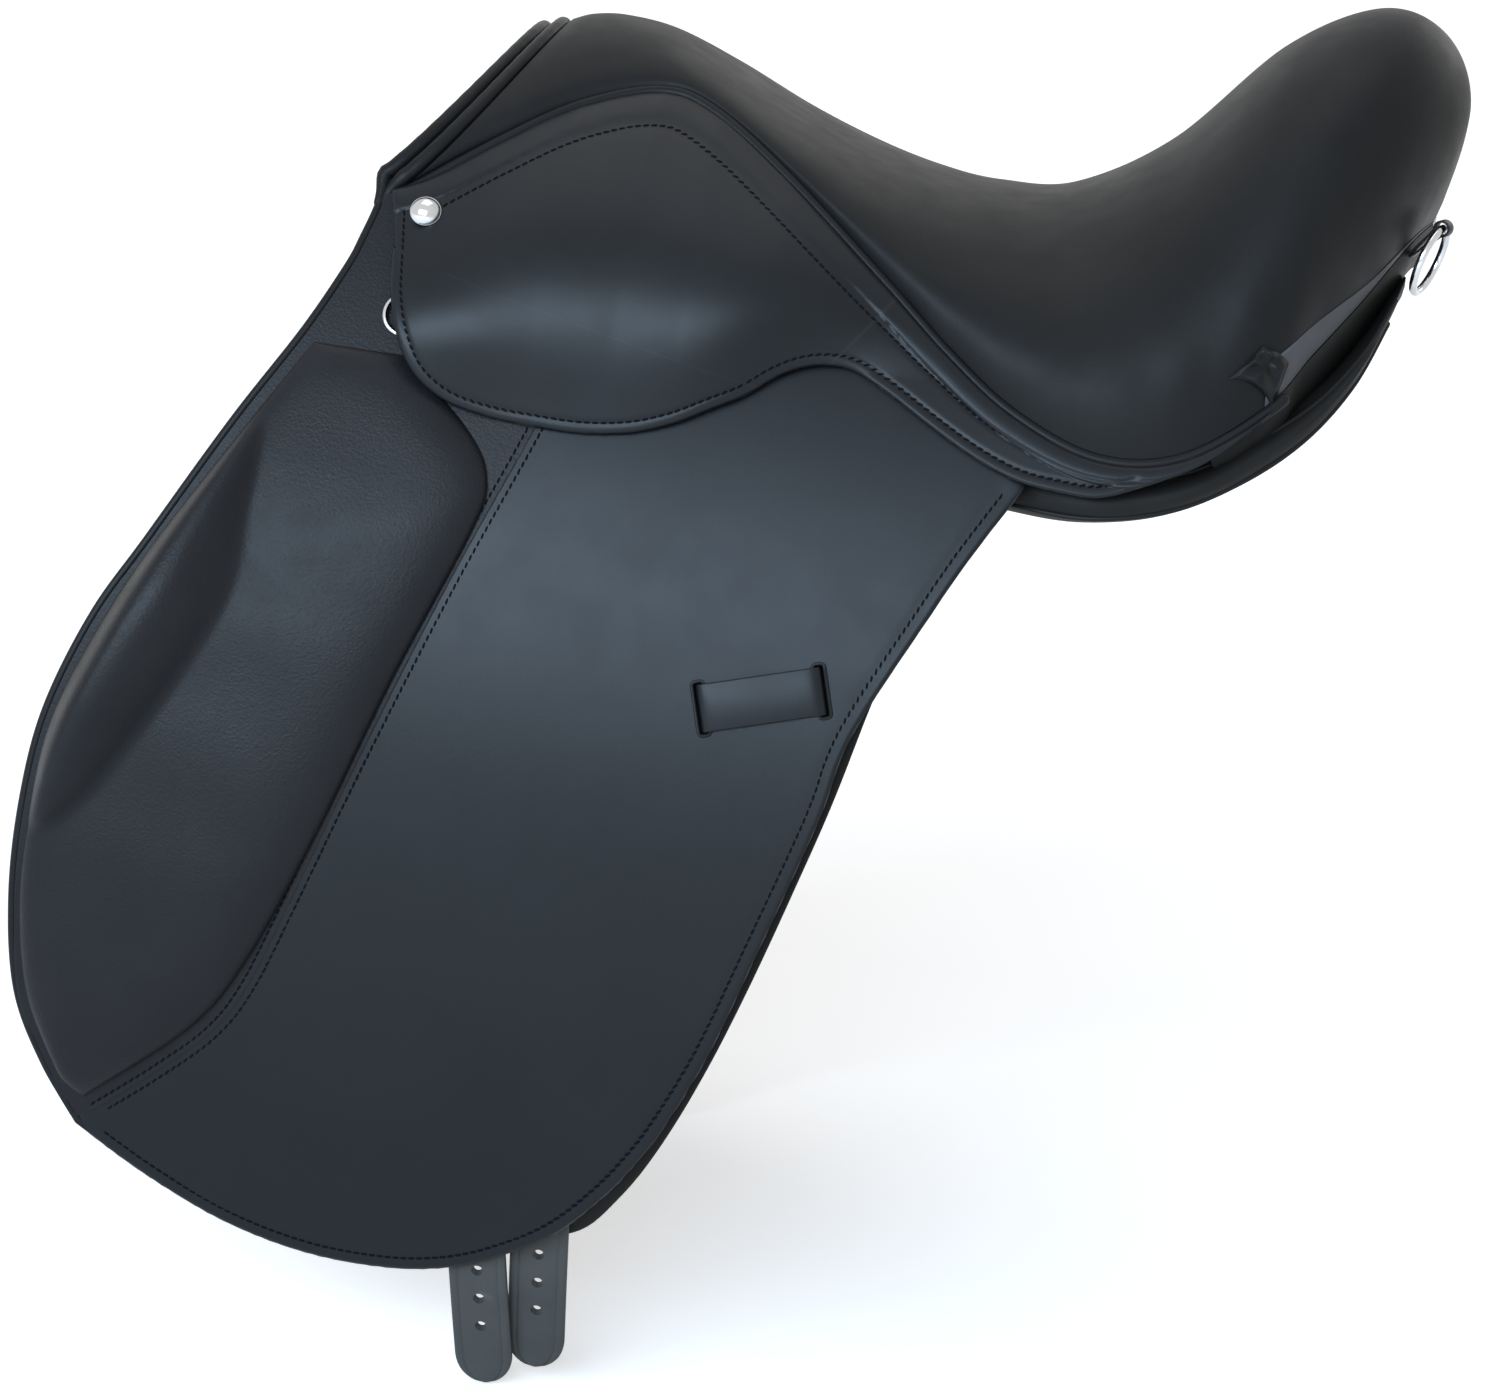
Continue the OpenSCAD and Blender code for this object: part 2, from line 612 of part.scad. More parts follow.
// Girth straps, hung on webs from the tree's side bars
front_strap_top = place([-221, 22]);
front_strap_lean = 8.3;
rear_strap_top = place([-165, 22]);
rear_strap_lean = 3.6;
tip_len = 16;
first_hole = 30;
function hole_place(top, tilt, length, k) =
    let (down = length - first_hole - k * strap_hole_pitch)
    top + [down * sin(tilt), -down * cos(tilt)];
function strap_outline(top, tilt, length) =
    let (r = billet_w / 2, c = cos(tilt), s = sin(tilt), shoulder = -length + tip_len / 8,
        local = concat([for (a = [0:15:180]) [r * cos(a), r * sin(a)]],
            [[-r, -length + tip_len], [-r / 3, shoulder], [0, -length], [r / 3, shoulder],
                [r, -length + tip_len]]))
    [for (p = local) [top.x + p.x * c - p.y * s, top.y + p.x * s + p.y * c]];
module billet(top, tilt, length, inner, outer) {
    difference() {
        sheet(strap_outline(top, tilt, length), inner, outer);
        // Each hole is punched square to the strap
        for (k = [0:strap_holes - 1])
            on_side(hole_place(top, tilt, length, k), (inner + outer) / 2)
                cylinder(d = strap_hole_d, h = 4 * billet_t, center = true, $fn = 32);
    }
}
module front_billet_left() {
    color("#4a4a46")
        billet(front_strap_top, front_strap_lean, front_billet_len, front_billet_in, front_billet_out);
}
module front_billet_right() {
    off_side() front_billet_left();
}
module rear_billet_left() {
    color("#4a4a46")
        billet(rear_strap_top, rear_strap_lean, rear_billet_len, rear_billet_in, rear_billet_out);
}
module rear_billet_right() {
    off_side() rear_billet_left();
}
web_drop = 20;
web_rise = 62;
module girth_webs_left() {
    half = billet_w / 2;
    color("#d8d2bd") for (top = [front_strap_top, rear_strap_top])
        sheet([for (corner = [[-half, -web_drop], [half, -web_drop], [half, web_rise], [-half, web_rise]])
            top + corner], web_in, web_out);
}
module girth_webs_right() {
    off_side() girth_webs_left();
}

// Panels, which bear on the horse's back on both sides of the channel
// Each row: x, inset of the outer edge from the drape, low and high places
tuck = -sweat_in + 2 * sewn_gap;
panel_rows = [[-252, tuck + 8, 14, 38], [-243, tuck + 1, 6, 42], [-222, tuck, 2, 43], [-176, tuck, 0, 43],
    [-125, tuck, 0, 43], [-82, tuck, 0, 42], [-50, tuck, 0, 40], [-22, tuck, 0, 36], [4, tuck - 5, 0, 33],
    [40, 2, 1, 31], [74, 4, 9, 36], [103, 9, 23, 53], [126, 14, 42, 70], [143, 19, 65, 90],
    [154, 28, 90, 108], [158, 36, 100, 114]];
panel_sides = 14;
panel_fullness = 0.75;
panel_slant = 0.25;
function panel_ring(x, inset, low, high) =
    let (zc = (upright(low) + upright(high)) / 2, b = (upright(high) - upright(low)) / 2,
        out = drape(zc) - inset, yc = (out + channel_half) / 2, a = (out - channel_half) / 2)
    [for (k = [0:panel_sides - 1])
        let (q = 360 * k / panel_sides, c = cos(q), s = sin(q),
            z = zc + b * sign(s) * pow(abs(s), panel_fullness),
            y = yc + a * sign(c) * pow(abs(c), panel_fullness),
            lean_in = max(0, drape(zc) - drape(z)) * max(c, 0))
        [along(x) + panel_slant * b * s, lean_in - y, z]];
module panel_left() {
    n = len(panel_rows) - 1;
    rows = [for (t = spread(0, n, 34)) curve(panel_rows, t)];
    color("#2a2928") loft(reversed([for (r = rows) panel_ring(r[0], r[1], r[2], r[3])]));
}
module panel_right() {
    off_side() panel_left();
}
// Lining over the channel, which rises to clear the withers under the pommel
lining_rise = 14;
withers_rise = 58;
withers_reach = 90;
lining_half = channel_half - sewn_gap - lining_t / 2;
lining_rows = [for (t = spread(1, len(panel_rows) - 2, 16)) curve(panel_rows, t)];
function vault_rise(x) = lining_rise + withers_rise * bell(x - lining_rows[0][0], withers_reach);
function vault_z(r, y) =
    upright((r[2] + r[3]) / 2) + vault_rise(r[0]) * (1 - pow(y / lining_half, 2));
module gullet_lining() {
    function vault(r, y, up) = [along(r[0]), y * (1 + up / lining_half), vault_z(r, y) + up];
    ys = [for (k = [-6:6]) lining_half * sin(15 * k)];
    color("#3a3836") shell([for (r = lining_rows) [for (y = ys) vault(r, y, lining_t / 2)]],
        [for (r = lining_rows) [for (y = ys) vault(r, y, -lining_t / 2)]]);
}
// Leather that closes the front of the arch, from the beads in to the lining
arch_half = 29;
arch_reach = 66;
module pommel_facing() {
    front = lining_rows[0];
    top = bead_d + bead_step_down + 3 * sewn_gap;
    function rim(a) = seat_point(0, a, top) - [bead_ahead, 0, 0];
    function edge(a) =
        let (y = arch_half * sin(a) / sin(arch_reach))
        [along(front[0]) - sewn_gap, y, vault_z(front, y) + lining_t / 2 + sewn_gap];
    function at(a, v, out) = rim(a) + (edge(a) - rim(a)) * v - [out, 0, 0];
    angles = spread(-arch_reach, arch_reach, 12);
    vs = spread(0, 1, 2);
    color("#2b2b2d") shell([for (a = angles) [for (v = vs) at(a, v, facing_t)]],
        [for (a = angles) [for (v = vs) at(a, v, 0)]]);
}

// Stirrup bar: plate, bar and the catch on its rear end
bar_spin = atan(fold_slope);
bar_w = 16;
plate_z = -4;
bar_plate_t = 2.5;
bar_centre = plate_z + bar_plate_t + bar_gap + bar_d / 2;
bar_neck = 10;
rivet_d = 5;
rivet_x = bar_len / 2 - 8;
eye_r = 4;
eye_t = 2.2;
eye_x = bar_len / 2 - 10;
catch_len = 15;
catch_t = 2.4;
catch_z = bar_centre + bar_d / 2 - catch_t;
rivet_len = 9;
module at_bar() {
    on_side([bar_x, bar_z], 0, bar_spin) children();
}
window_room = 3;
module bar_window() {
    at_bar() cube([bar_len + 2 * window_room, bar_w + 2 * window_room, 6 * flap_t], center = true);
}
module bar_holes() {
    at_bar() for (side = [-1, 1]) translate([side * rivet_x, 0, plate_z - 3 * rivet_len])
        cylinder(d = rivet_d + 2 * run_gap, h = 3 * rivet_len);
}
module stirrup_bar_left() {
    front = -bar_len / 2;
    color("#9a9da2") at_bar() difference() {
        union() {
            translate([front, -bar_w / 2, plate_z]) cube([bar_len, bar_w, bar_plate_t]);
            translate([front, -bar_w / 4, plate_z])
                cube([bar_neck, bar_w / 2, bar_centre - plate_z + bar_d / 2]);
            translate([front + bar_neck / 2, 0, bar_centre]) rotate([0, 90, 0])
                cylinder(d = bar_d, h = eye_x - front - bar_neck / 2 - eye_r / 2);
            translate([eye_x, 0, catch_z - sewn_gap - eye_t]) cylinder(r = eye_r, h = eye_t);
        }
        translate([eye_x, 0, catch_z - 2 * eye_t]) cylinder(d = pin_d + 2 * run_gap, h = 4 * eye_t);
        translate([eye_x, 0, catch_z - sewn_gap]) cylinder(r = eye_r + slide_gap, h = 4 * eye_t);
        for (side = [-1, 1])
            translate([side * rivet_x, 0, plate_z - 1])
                cylinder(d = rivet_d + 2 * run_gap, h = 3 * rivet_len);
    }
}
module stirrup_bar_right() {
    off_side() stirrup_bar_left();
}
module bar_catch_left() {
    color("#85888d") at_bar() translate([eye_x, 0, catch_z]) difference() {
        union() {
            cylinder(r = eye_r, h = catch_t);
            translate([0, -eye_r * 0.8, 0]) cube([catch_len, 1.6 * eye_r, catch_t]);
        }
        translate([0, 0, -1]) cylinder(d = pin_d + 2 * run_gap, h = catch_t + 2);
    }
}
module bar_catch_right() {
    off_side() bar_catch_left();
}
module one_bar_pin() {
    low = catch_z - sewn_gap - eye_t;
    at_bar() translate([eye_x, 0, low]) cylinder(d = pin_d, h = catch_t + eye_t + 2 * sewn_gap);
}
module bar_pins() {
    color("#c8cacc") {
        one_bar_pin();
        off_side() one_bar_pin();
    }
}
module side_rivets() {
    at_bar() for (side = [-1, 1]) translate([side * rivet_x, 0, plate_z - rivet_len])
        cylinder(d = rivet_d, h = rivet_len + bar_plate_t);
}
module bar_rivets() {
    color("#b08d57") {
        side_rivets();
        off_side() side_rivets();
    }
}

// Nails with domed heads, through the skirt and the flap into the tree
nail_at = place([-251, 84]);
nail_dome = 4;
shank_d = 3;
shank_len = 24;
module one_nail() {
    seat_z = (skirt_out + bulge(nail_at.x, nail_at.y)) * cos(lean(nail_at.y)) + sewn_gap;
    dome_r = (pow(nail_d / 2, 2) + pow(nail_dome, 2)) / (2 * nail_dome);
    on_side(nail_at, 0) translate([0, 0, seat_z]) {
        intersection() {
            translate([0, 0, nail_dome - dome_r]) sphere(r = dome_r);
            cylinder(d = nail_d, h = nail_dome + 1);
        }
        translate([0, 0, -shank_len]) cylinder(d = shank_d, h = shank_len + 1);
    }
}
module saddle_nails() {
    color("#d9dbde") {
        one_nail();
        off_side() one_nail();
    }
}

// Front rings, which turn in a chape sewn to the flap under the skirt's front corner
front_ring_r = (front_ring_d - front_wire_d) / 2;
front_chape_z = flap_out * cos(lean(front_ring_at.y)) + sewn_gap;
front_ring_z = front_chape_z + front_wire_d / 2 + 0.4;
front_wire_room = 0.3;
chape_turn = 40;
front_chape_size = [12, 6, front_wire_d + 2.1];
front_chape_in = 4;
module ring(r, wire) {
    rotate_extrude() translate([r, 0]) circle(d = wire);
}
module front_ring_left() {
    color("#cfd2d6") on_side(front_ring_at, 0) translate([0, 0, front_ring_z])
        ring(front_ring_r, front_wire_d);
}
module front_ring_right() {
    off_side() front_ring_left();
}
module front_chape_left() {
    color("#2a2b2e") on_side(front_ring_at, 0) difference() {
        rotate([0, 0, chape_turn])
            translate([front_ring_r - front_chape_in, -front_chape_size.y / 2, front_chape_z])
                cube(front_chape_size);
        translate([0, 0, front_ring_z]) ring(front_ring_r, front_wire_d + 2 * front_wire_room);
    }
}
module front_chape_right() {
    off_side() front_chape_left();
}

// Rear rings, which hang in chapes behind the cantle
rear_ring_t = 13.95;
rear_turn = -21;
rear_ring_r = (rear_ring_d - rear_wire_d) / 2;
rear_pivot_out = 13;
rear_pivot_up = 9;
rear_chape_w = 7;
rear_chape_bore = rear_wire_d + pow(rear_chape_w / 2, 2) / rear_ring_r + slide_gap;
rear_ring_lean = 13;
module at_rear_pivot() {
    p = curve(seam, rear_ring_t);
    translate([p.x, -seam_y(rear_ring_t), p.y]) rotate([0, 0, rear_turn])
        translate([rear_pivot_out, 0, rear_pivot_up]) children();
}
module rear_ring_left() {
    color("#cfd2d6") at_rear_pivot() rotate([0, rear_ring_lean, 0]) translate([0, 0, -rear_ring_r])
        rotate([0, 90, 0]) ring(rear_ring_r, rear_wire_d);
}
module rear_ring_right() {
    off_side() rear_ring_left();
}
rear_chape_t = 2;
// The chape's tab runs down and in to the strip below the seat's edge
tab_reach = [-1, 5];
rear_tab_end = [rear_pivot_out, rear_pivot_up] + tab_reach;
rear_tab_slope = -atan(rear_tab_end.y / rear_tab_end.x);
rear_tab_len = norm(rear_tab_end);
module rear_chape() {
    at_rear_pivot() rotate([90, 0, 0]) difference() {
        union() {
            cylinder(d = rear_chape_bore + 2 * rear_chape_t, h = rear_chape_w, center = true);
            rotate([0, 0, -rear_tab_slope])
                translate([-rear_tab_len, -rear_chape_t / 2, -rear_chape_w / 2])
                    cube([rear_tab_len, rear_chape_t, rear_chape_w]);
        }
        cylinder(d = rear_chape_bore, h = 2 * rear_chape_w, center = true);
    }
}
module rear_chapes() {
    color("#2a2b2e") {
        rear_chape();
        off_side() rear_chape();
    }
}

seat_cover();
seat_foam();
seat_web();
head_arch();
gullet_plate();
tree_springs();
seat_pan();
tree_side_left();
tree_side_right();
seat_welt_left();
seat_welt_right();
pommel_bead_front();
pommel_bead_rear();
pommel_facing();
cantle_facing();
cantle_tab_left();
cantle_tab_right();
skirt_left();
skirt_right();
skirt_lobe_left();
skirt_lobe_right();
flap_left();
flap_right();
flap_head_left();
flap_head_right();
flap_binding_left();
flap_binding_right();
knee_pad_left();
knee_pad_right();
knee_block_left();
knee_block_right();
keeper_left();
keeper_right();
sweat_flap_left();
sweat_flap_right();
front_billet_left();
front_billet_right();
rear_billet_left();
rear_billet_right();
girth_webs_left();
girth_webs_right();
panel_left();
panel_right();
gullet_lining();
stirrup_bar_left();
stirrup_bar_right();
bar_catch_left();
bar_catch_right();
bar_pins();
bar_rivets();
saddle_nails();
front_ring_left();
front_ring_right();
front_chape_left();
front_chape_right();
rear_ring_left();
rear_ring_right();
rear_chapes();
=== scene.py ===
"""Looks of a black leather dressage saddle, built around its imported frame.

The shapes repeat the curves of the solids. Lengths are in millimetres until a mesh is made, x runs to the
rear, z up, and the near side has negative y. Pieces with two sides are built for the near side and mirrored.
Camera, floor and lamps are placed in metres.
"""
import math

import bmesh
import bpy
import numpy as np
from mathutils import Matrix


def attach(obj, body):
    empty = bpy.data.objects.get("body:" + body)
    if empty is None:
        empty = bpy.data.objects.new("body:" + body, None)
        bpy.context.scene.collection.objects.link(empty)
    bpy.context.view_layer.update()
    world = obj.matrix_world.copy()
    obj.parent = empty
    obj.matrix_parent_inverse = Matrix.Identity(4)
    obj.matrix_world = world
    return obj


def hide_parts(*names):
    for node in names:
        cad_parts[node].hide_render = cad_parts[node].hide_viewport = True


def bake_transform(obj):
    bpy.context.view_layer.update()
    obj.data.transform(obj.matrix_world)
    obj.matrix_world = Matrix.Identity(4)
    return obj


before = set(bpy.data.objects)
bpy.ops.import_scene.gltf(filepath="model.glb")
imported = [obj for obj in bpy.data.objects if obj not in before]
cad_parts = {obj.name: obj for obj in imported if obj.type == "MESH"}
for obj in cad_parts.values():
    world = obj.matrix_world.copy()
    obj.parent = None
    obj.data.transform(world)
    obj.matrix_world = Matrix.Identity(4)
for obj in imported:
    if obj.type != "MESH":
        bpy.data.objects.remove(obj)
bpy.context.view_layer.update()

MM = 0.001
SMOOTH_ANGLE = math.radians(42)


# Camera

VIEW_TURN, VIEW_TIP, VIEW_ROLL = (math.radians(angle) for angle in (-3, 15, 8))
LENS, SENSOR = 98.4, 36
CAMERA_AT = (-0.000816, -1.802702, 0.358270)


def axes_at(x, y, z, place):
    """Matrix of a frame with these three axes, at a place."""
    matrix = np.eye(4)
    matrix[:3] = np.stack([x, y, z, place], 1)
    return matrix


def added(name, data):
    """A new object in the scene."""
    thing = bpy.data.objects.new(name, data)
    bpy.context.scene.collection.objects.link(thing)
    return thing


def place_camera():
    flat, fall = math.cos(VIEW_TIP), math.sin(VIEW_TIP)
    ahead = np.array([math.sin(VIEW_TURN) * flat, math.cos(VIEW_TURN) * flat, -fall])
    level = np.array([math.cos(VIEW_TURN), -math.sin(VIEW_TURN), 0])
    above = np.cross(level, ahead)
    right = level * math.cos(VIEW_ROLL) + above * math.sin(VIEW_ROLL)
    up = above * math.cos(VIEW_ROLL) - level * math.sin(VIEW_ROLL)
    data = bpy.data.cameras.new("camera")
    data.lens, data.sensor_width, data.sensor_fit = LENS, SENSOR, "HORIZONTAL"
    camera = added("camera", data)
    camera.matrix_world = Matrix(axes_at(right, up, -ahead, CAMERA_AT).tolist())
    bpy.context.scene.camera = camera


# Curves

def unit(v):
    return v / np.linalg.norm(v, axis=-1, keepdims=True)


def circle(count):
    """Angles of so many points round a circle."""
    return np.linspace(0, 2 * math.pi, count, endpoint=False)


def curve(points, t):
    """Smooth curve through points, read at places t counted in points."""
    points = np.asarray(points, float)
    t = np.asarray(t, float)
    last = len(points) - 1
    k = np.clip(np.floor(t).astype(int), 0, last - 1)
    u = t - k
    if points.ndim > 1:
        u = u[..., None]
    a, b = points[np.maximum(k - 1, 0)], points[k]
    c, d = points[k + 1], points[np.minimum(k + 2, last)]
    square, cube = 2 * a - 5 * b + 4 * c - d, 3 * b - a - 3 * c + d
    return 0.5 * (2 * b + (c - a) * u + square * u ** 2 + cube * u ** 3)


def run_length(path):
    return np.r_[0, np.cumsum(np.linalg.norm(np.diff(path, axis=0), axis=1))]


def read_path(path, shares):
    """Places along a path at shares of its length."""
    run = run_length(path)
    return np.stack([np.interp(shares * run[-1], run, path[:, i]) for i in range(path.shape[1])], -1)


def even(path, step):
    count = max(2, int(round(run_length(path)[-1] / step)) + 1)
    return read_path(path, np.linspace(0, 1, count))


def smooth(points, start=0.0, end=None, step=1.0):
    """Evenly spaced places on the smooth curve through points."""
    end = len(points) - 1 if end is None else end
    return even(curve(points, np.linspace(start, end, 400)), step)


def tangents(path):
    return unit(np.gradient(path, axis=0))


def beside(path, reach):
    """A flat path moved sideways, to its left for a positive reach."""
    t = tangents(path)
    return path + np.stack([-t[:, 1], t[:, 0]], 1) * reach


def bell(v, width):
    return np.exp(-(v / width) ** 2)


def crown(k):
    return 1 - np.abs(2 * k - 1) ** 4


# The saddle's shared forms

DRAPE_W, DRAPE_MID, DRAPE_RISE, DRAPE_POWER = 195, -230, 421.05, 0.74
SEWN_GAP, SLIDE_GAP = 0.3, 0.8
FLAP_OUT, SKIRT_IN, SKIRT_OUT = 4.5, 5.3, 8.8
FOLD_FRONT, FOLD_REAR = np.array([-277.0, 79.0]), np.array([13.0, 19.0])
FOLD_SLOPE = (FOLD_REAR[1] - FOLD_FRONT[1]) / (FOLD_REAR[0] - FOLD_FRONT[0])
BAR_X, BAR_REACH, BULGE = -160, 88, 22
FOOT_LOW, FOOT_HIGH, FOOT_TURN, FOOT_RUN, BULGE_SKEW = 15, 55, -108, 28, 1.15
RING_BULGE, RING_X, RING_Z, RING_REACH = 6.7, -248, 51, 30

SEAM = np.array([(-264, 98), (-230, 122), (-198, 141), (-164, 151), (-138, 145), (-101, 123), (-55, 90),
                 (-26, 68), (4, 49), (40, 37), (74, 42), (106, 65), (122, 84), (141, 106), (160, 129),
                 (171, 135)], float)
SEAM_SHARE = np.array([1] * 12 + [0.9, 0.76, 0.52, 0.14])
SEAM_LAST = len(SEAM) - 1
SEAT_H, POMMEL_H, CANTLE_H = 122, 171, 221
POMMEL_CREST = ((-214, 0.9), (-205, 0.97), (-191, 1), (-171, 0.94), (-143, 0.71), (-110, 0.41), (-73, 0.16),
                (-45, 0.04), (-18, 0))
CANTLE_CREST = ((15, 0.04), (55, 0.3), (97, 0.78), (135, 1), (163, 0.93), (178, 0.66), (174, 0.24))
CREST = np.array([(x, SEAT_H + k * (high - SEAT_H))
                  for high, crest in ((POMMEL_H, POMMEL_CREST), (CANTLE_H, CANTLE_CREST)) for x, k in crest])
SEAT_ROUND, POMMEL_ROUND, POMMEL_RUN, POMMEL_LEAN, LEAN_RUN = 0.8, 0.65, 3, 0.15, 1.5
SEAM_STEP = 0.05


def drape(z):
    """Half width of the leather where it hangs, at a height."""
    return DRAPE_W * np.maximum(0.01, 1 - ((z - DRAPE_MID) / DRAPE_RISE) ** 2) ** DRAPE_POWER


def fold_z(x):
    return FOLD_FRONT[1] + (x - FOLD_FRONT[0]) * FOLD_SLOPE


def fold_point(up):
    """A point on the midplane, that far above the fold line, in metres."""
    rise = np.array([-FOLD_SLOPE, 1]) / math.hypot(FOLD_SLOPE, 1)
    middle = (FOLD_FRONT + FOLD_REAR) / 2 + rise * up
    return (middle[0] * MM, 0, middle[1] * MM)


def bulge(p):
    """How far the skirt stands out over the stirrup bar and over the front ring."""
    x, z = p[..., 0], p[..., 1]
    top = np.interp(x, SEAM[:, 0], SEAM[:, 1])
    foot = FOOT_LOW + (FOOT_HIGH - FOOT_LOW) * (1 + np.tanh((x - FOOT_TURN) / FOOT_RUN)) / 2
    share = np.clip((z - foot) / np.maximum(top - foot, 1), 0, 1)
    over_bar = BULGE * np.sin(math.pi * share ** BULGE_SKEW) * np.exp(-((x - BAR_X) / BAR_REACH) ** 4)
    return over_bar + RING_BULGE * bell(x - RING_X, RING_REACH) * bell(z - RING_Z, RING_REACH)


def on_drape(p, off):
    return np.stack([p[..., 0], -drape(p[..., 1]) - off, p[..., 1]], -1)


def on_skirt(p, off):
    return on_drape(p, off + bulge(p))


def drape_slope(z):
    return (drape(z + 1) - drape(z - 1)) / 2


def square_out(z, off):
    """An offset across the saddle, measured square to the leather at a height."""
    return off / math.hypot(drape_slope(z), 1)


def turn_pair(degrees):
    return math.cos(math.radians(degrees)), math.sin(math.radians(degrees))


def drape_frame(p, off, spin=0.0):
    """Matrix of a frame on the leather: x along, y up the leather, z outward."""
    p = np.array(p, float)
    slope = drape_slope(p[1])
    up = np.array([0, -slope, 1]) / math.hypot(slope, 1)
    out = np.array([0, -1, -slope]) / math.hypot(slope, 1)
    along = np.array([1.0, 0, 0])
    c, s = turn_pair(spin)
    return axes_at(along * c + up * s, up * c - along * s, out, on_drape(p, off))


def moved(matrix, points):
    return np.asarray(points) @ matrix[:3, :3].T + matrix[:3, 3]


def seam_y(t):
    return curve(SEAM_SHARE, t) * (drape(curve(SEAM, t)[..., 1]) + SKIRT_OUT - SLIDE_GAP)


def below_seam(t, down):
    d = unit(curve(SEAM, np.minimum(t + SEAM_STEP, SEAM_LAST)) - curve(SEAM, np.maximum(t - SEAM_STEP, 0)))
    return curve(SEAM, t) + np.stack([d[..., 1], -d[..., 0]], -1) * down


def seat_point(t, angle, depth, hang=0):
    """A point of the seat: t along its seam, angle across it, depth under the leather."""
    t, angle = np.broadcast_arrays(np.asarray(t, float), np.asarray(angle, float))
    low, high = curve(SEAM, t), curve(CREST, t)
    share = np.maximum(np.cos(angle), 0) ** (SEAT_ROUND + POMMEL_ROUND * bell(t, POMMEL_RUN))
    room = high[..., 1] - low[..., 1]
    rise = room * np.exp(-depth / room) - hang
    back = share ** (1 - POMMEL_LEAN * bell(t, LEAN_RUN))
    return np.stack([low[..., 0] + (high[..., 0] - low[..., 0]) * back,
                     (seam_y(t) - depth) * np.sin(angle), low[..., 1] + rise * share], -1)


# Mesh forms: each gives points and faces

def quads(rows, cols, first=0):
    i, j = np.meshgrid(np.arange(rows - 1), np.arange(cols - 1), indexing="ij")
    a = first + i * cols + j
    return np.stack([a, a + 1, a + cols + 1, a + cols], -1).reshape(-1, 4)


def shell(outer, inner):
    """Closed solid between two grids of points."""
    rows, cols = outer.shape[:2]
    n = rows * cols
    skin = quads(rows, cols)
    grid = np.arange(n).reshape(rows, cols)
    loop = np.concatenate([grid[0, :], grid[1:, -1], grid[-1, -2::-1], grid[-2:0:-1, 0]])
    after = np.roll(loop, -1)
    rim = np.stack([loop, after, after + n, loop + n], 1)
    faces = np.concatenate([skin, skin[:, ::-1] + n, rim])
    return np.concatenate([outer.reshape(-1, 3), inner.reshape(-1, 3)]), faces.tolist()


def joined(*forms):
    points, faces, start = [], [], 0
    for p, f in forms:
        points.append(np.asarray(p))
        faces += [[k + start for k in face] for face in f]
        start += len(p)
    return np.concatenate(points), faces


def ring_faces(count, n):
    """Faces between rings of n points."""
    return [[i * n + j, i * n + (j + 1) % n, (i + 1) * n + (j + 1) % n, (i + 1) * n + j]
            for i in range(count - 1) for j in range(n)]


def loft(rings):
    """Closed solid through rings of points, with a fan on each end."""
    count, n = rings.shape[:2]
    points = [rings.reshape(-1, 3), rings[0].mean(0)[None], rings[-1].mean(0)[None]]
    faces = ring_faces(count, n)
    for j in range(n):
        k = (j + 1) % n
        faces.append([count * n, k, j])
        faces.append([count * n + 1, (count - 1) * n + j, (count - 1) * n + k])
    return np.concatenate(points), faces


def carried_frames(path):
    """Two directions square to a path at each of its points, carried along without twist."""
    t = tangents(path)
    side = np.cross(t[0], (0, 0, 1))
    sides = []
    for ahead in t:
        side = unit(side - ahead * np.dot(side, ahead))
        sides.append(side)
    return np.array(sides), np.cross(t, sides)


def tube(path, radius, sides=14, closed_end=True):
    """Round cord along a path, with rounded ends."""
    path = np.asarray(path, float)
    radius = np.broadcast_to(np.asarray(radius, float), (len(path),)).copy()
    if closed_end:
        t = tangents(path)
        turns = np.radians([80, 55, 30])
        head = [path[0] - t[0] * radius[0] * math.sin(a) for a in turns]
        tail = [path[-1] + t[-1] * radius[-1] * math.sin(a) for a in turns[::-1]]
        cos = np.cos(turns)
        path = np.concatenate([head, path, tail])
        radius = np.concatenate([radius[0] * cos, radius, radius[-1] * cos[::-1]])
    a, b = carried_frames(path)
    q = circle(sides)
    rings = (path[:, None] + radius[:, None, None]
             * (a[:, None] * np.cos(q)[None, :, None] + b[:, None] * np.sin(q)[None, :, None]))
    return loft(rings)


def torus(radius, wire, around=72, sides=18):
    q, s = np.meshgrid(circle(around), circle(sides), indexing="ij")
    r = radius + wire / 2 * np.cos(s)
    points = np.stack([r * np.cos(q), r * np.sin(q), wire / 2 * np.sin(s)], -1).reshape(-1, 3)
    faces = [[i * sides + j, (i + 1) % around * sides + j, (i + 1) % around * sides + (j + 1) % sides,
              i * sides + (j + 1) % sides] for i in range(around) for j in range(sides)]
    return points, faces


def ribbon(path, across, width, thick, edge=0.35):
    """Flat strap of rounded section along a path; across is its width's direction."""
    path = np.asarray(path, float)
    across = np.broadcast_to(np.asarray(across, float), path.shape)
    out = unit(np.cross(tangents(path), across))
    w, h = width / 2, thick / 2
    q = np.radians([0, 30, 60, 90])
    corner = np.stack([w - edge + edge * np.cos(q), h - edge + edge * np.sin(q)], 1)
    section = np.concatenate([corner, corner[::-1] * [-1, 1], corner * [-1, -1], corner[::-1] * [1, -1]])
    rings = path[:, None] + across[:, None] * section[None, :, :1] + out[:, None] * section[None, :, 1:]
    return loft(rings)


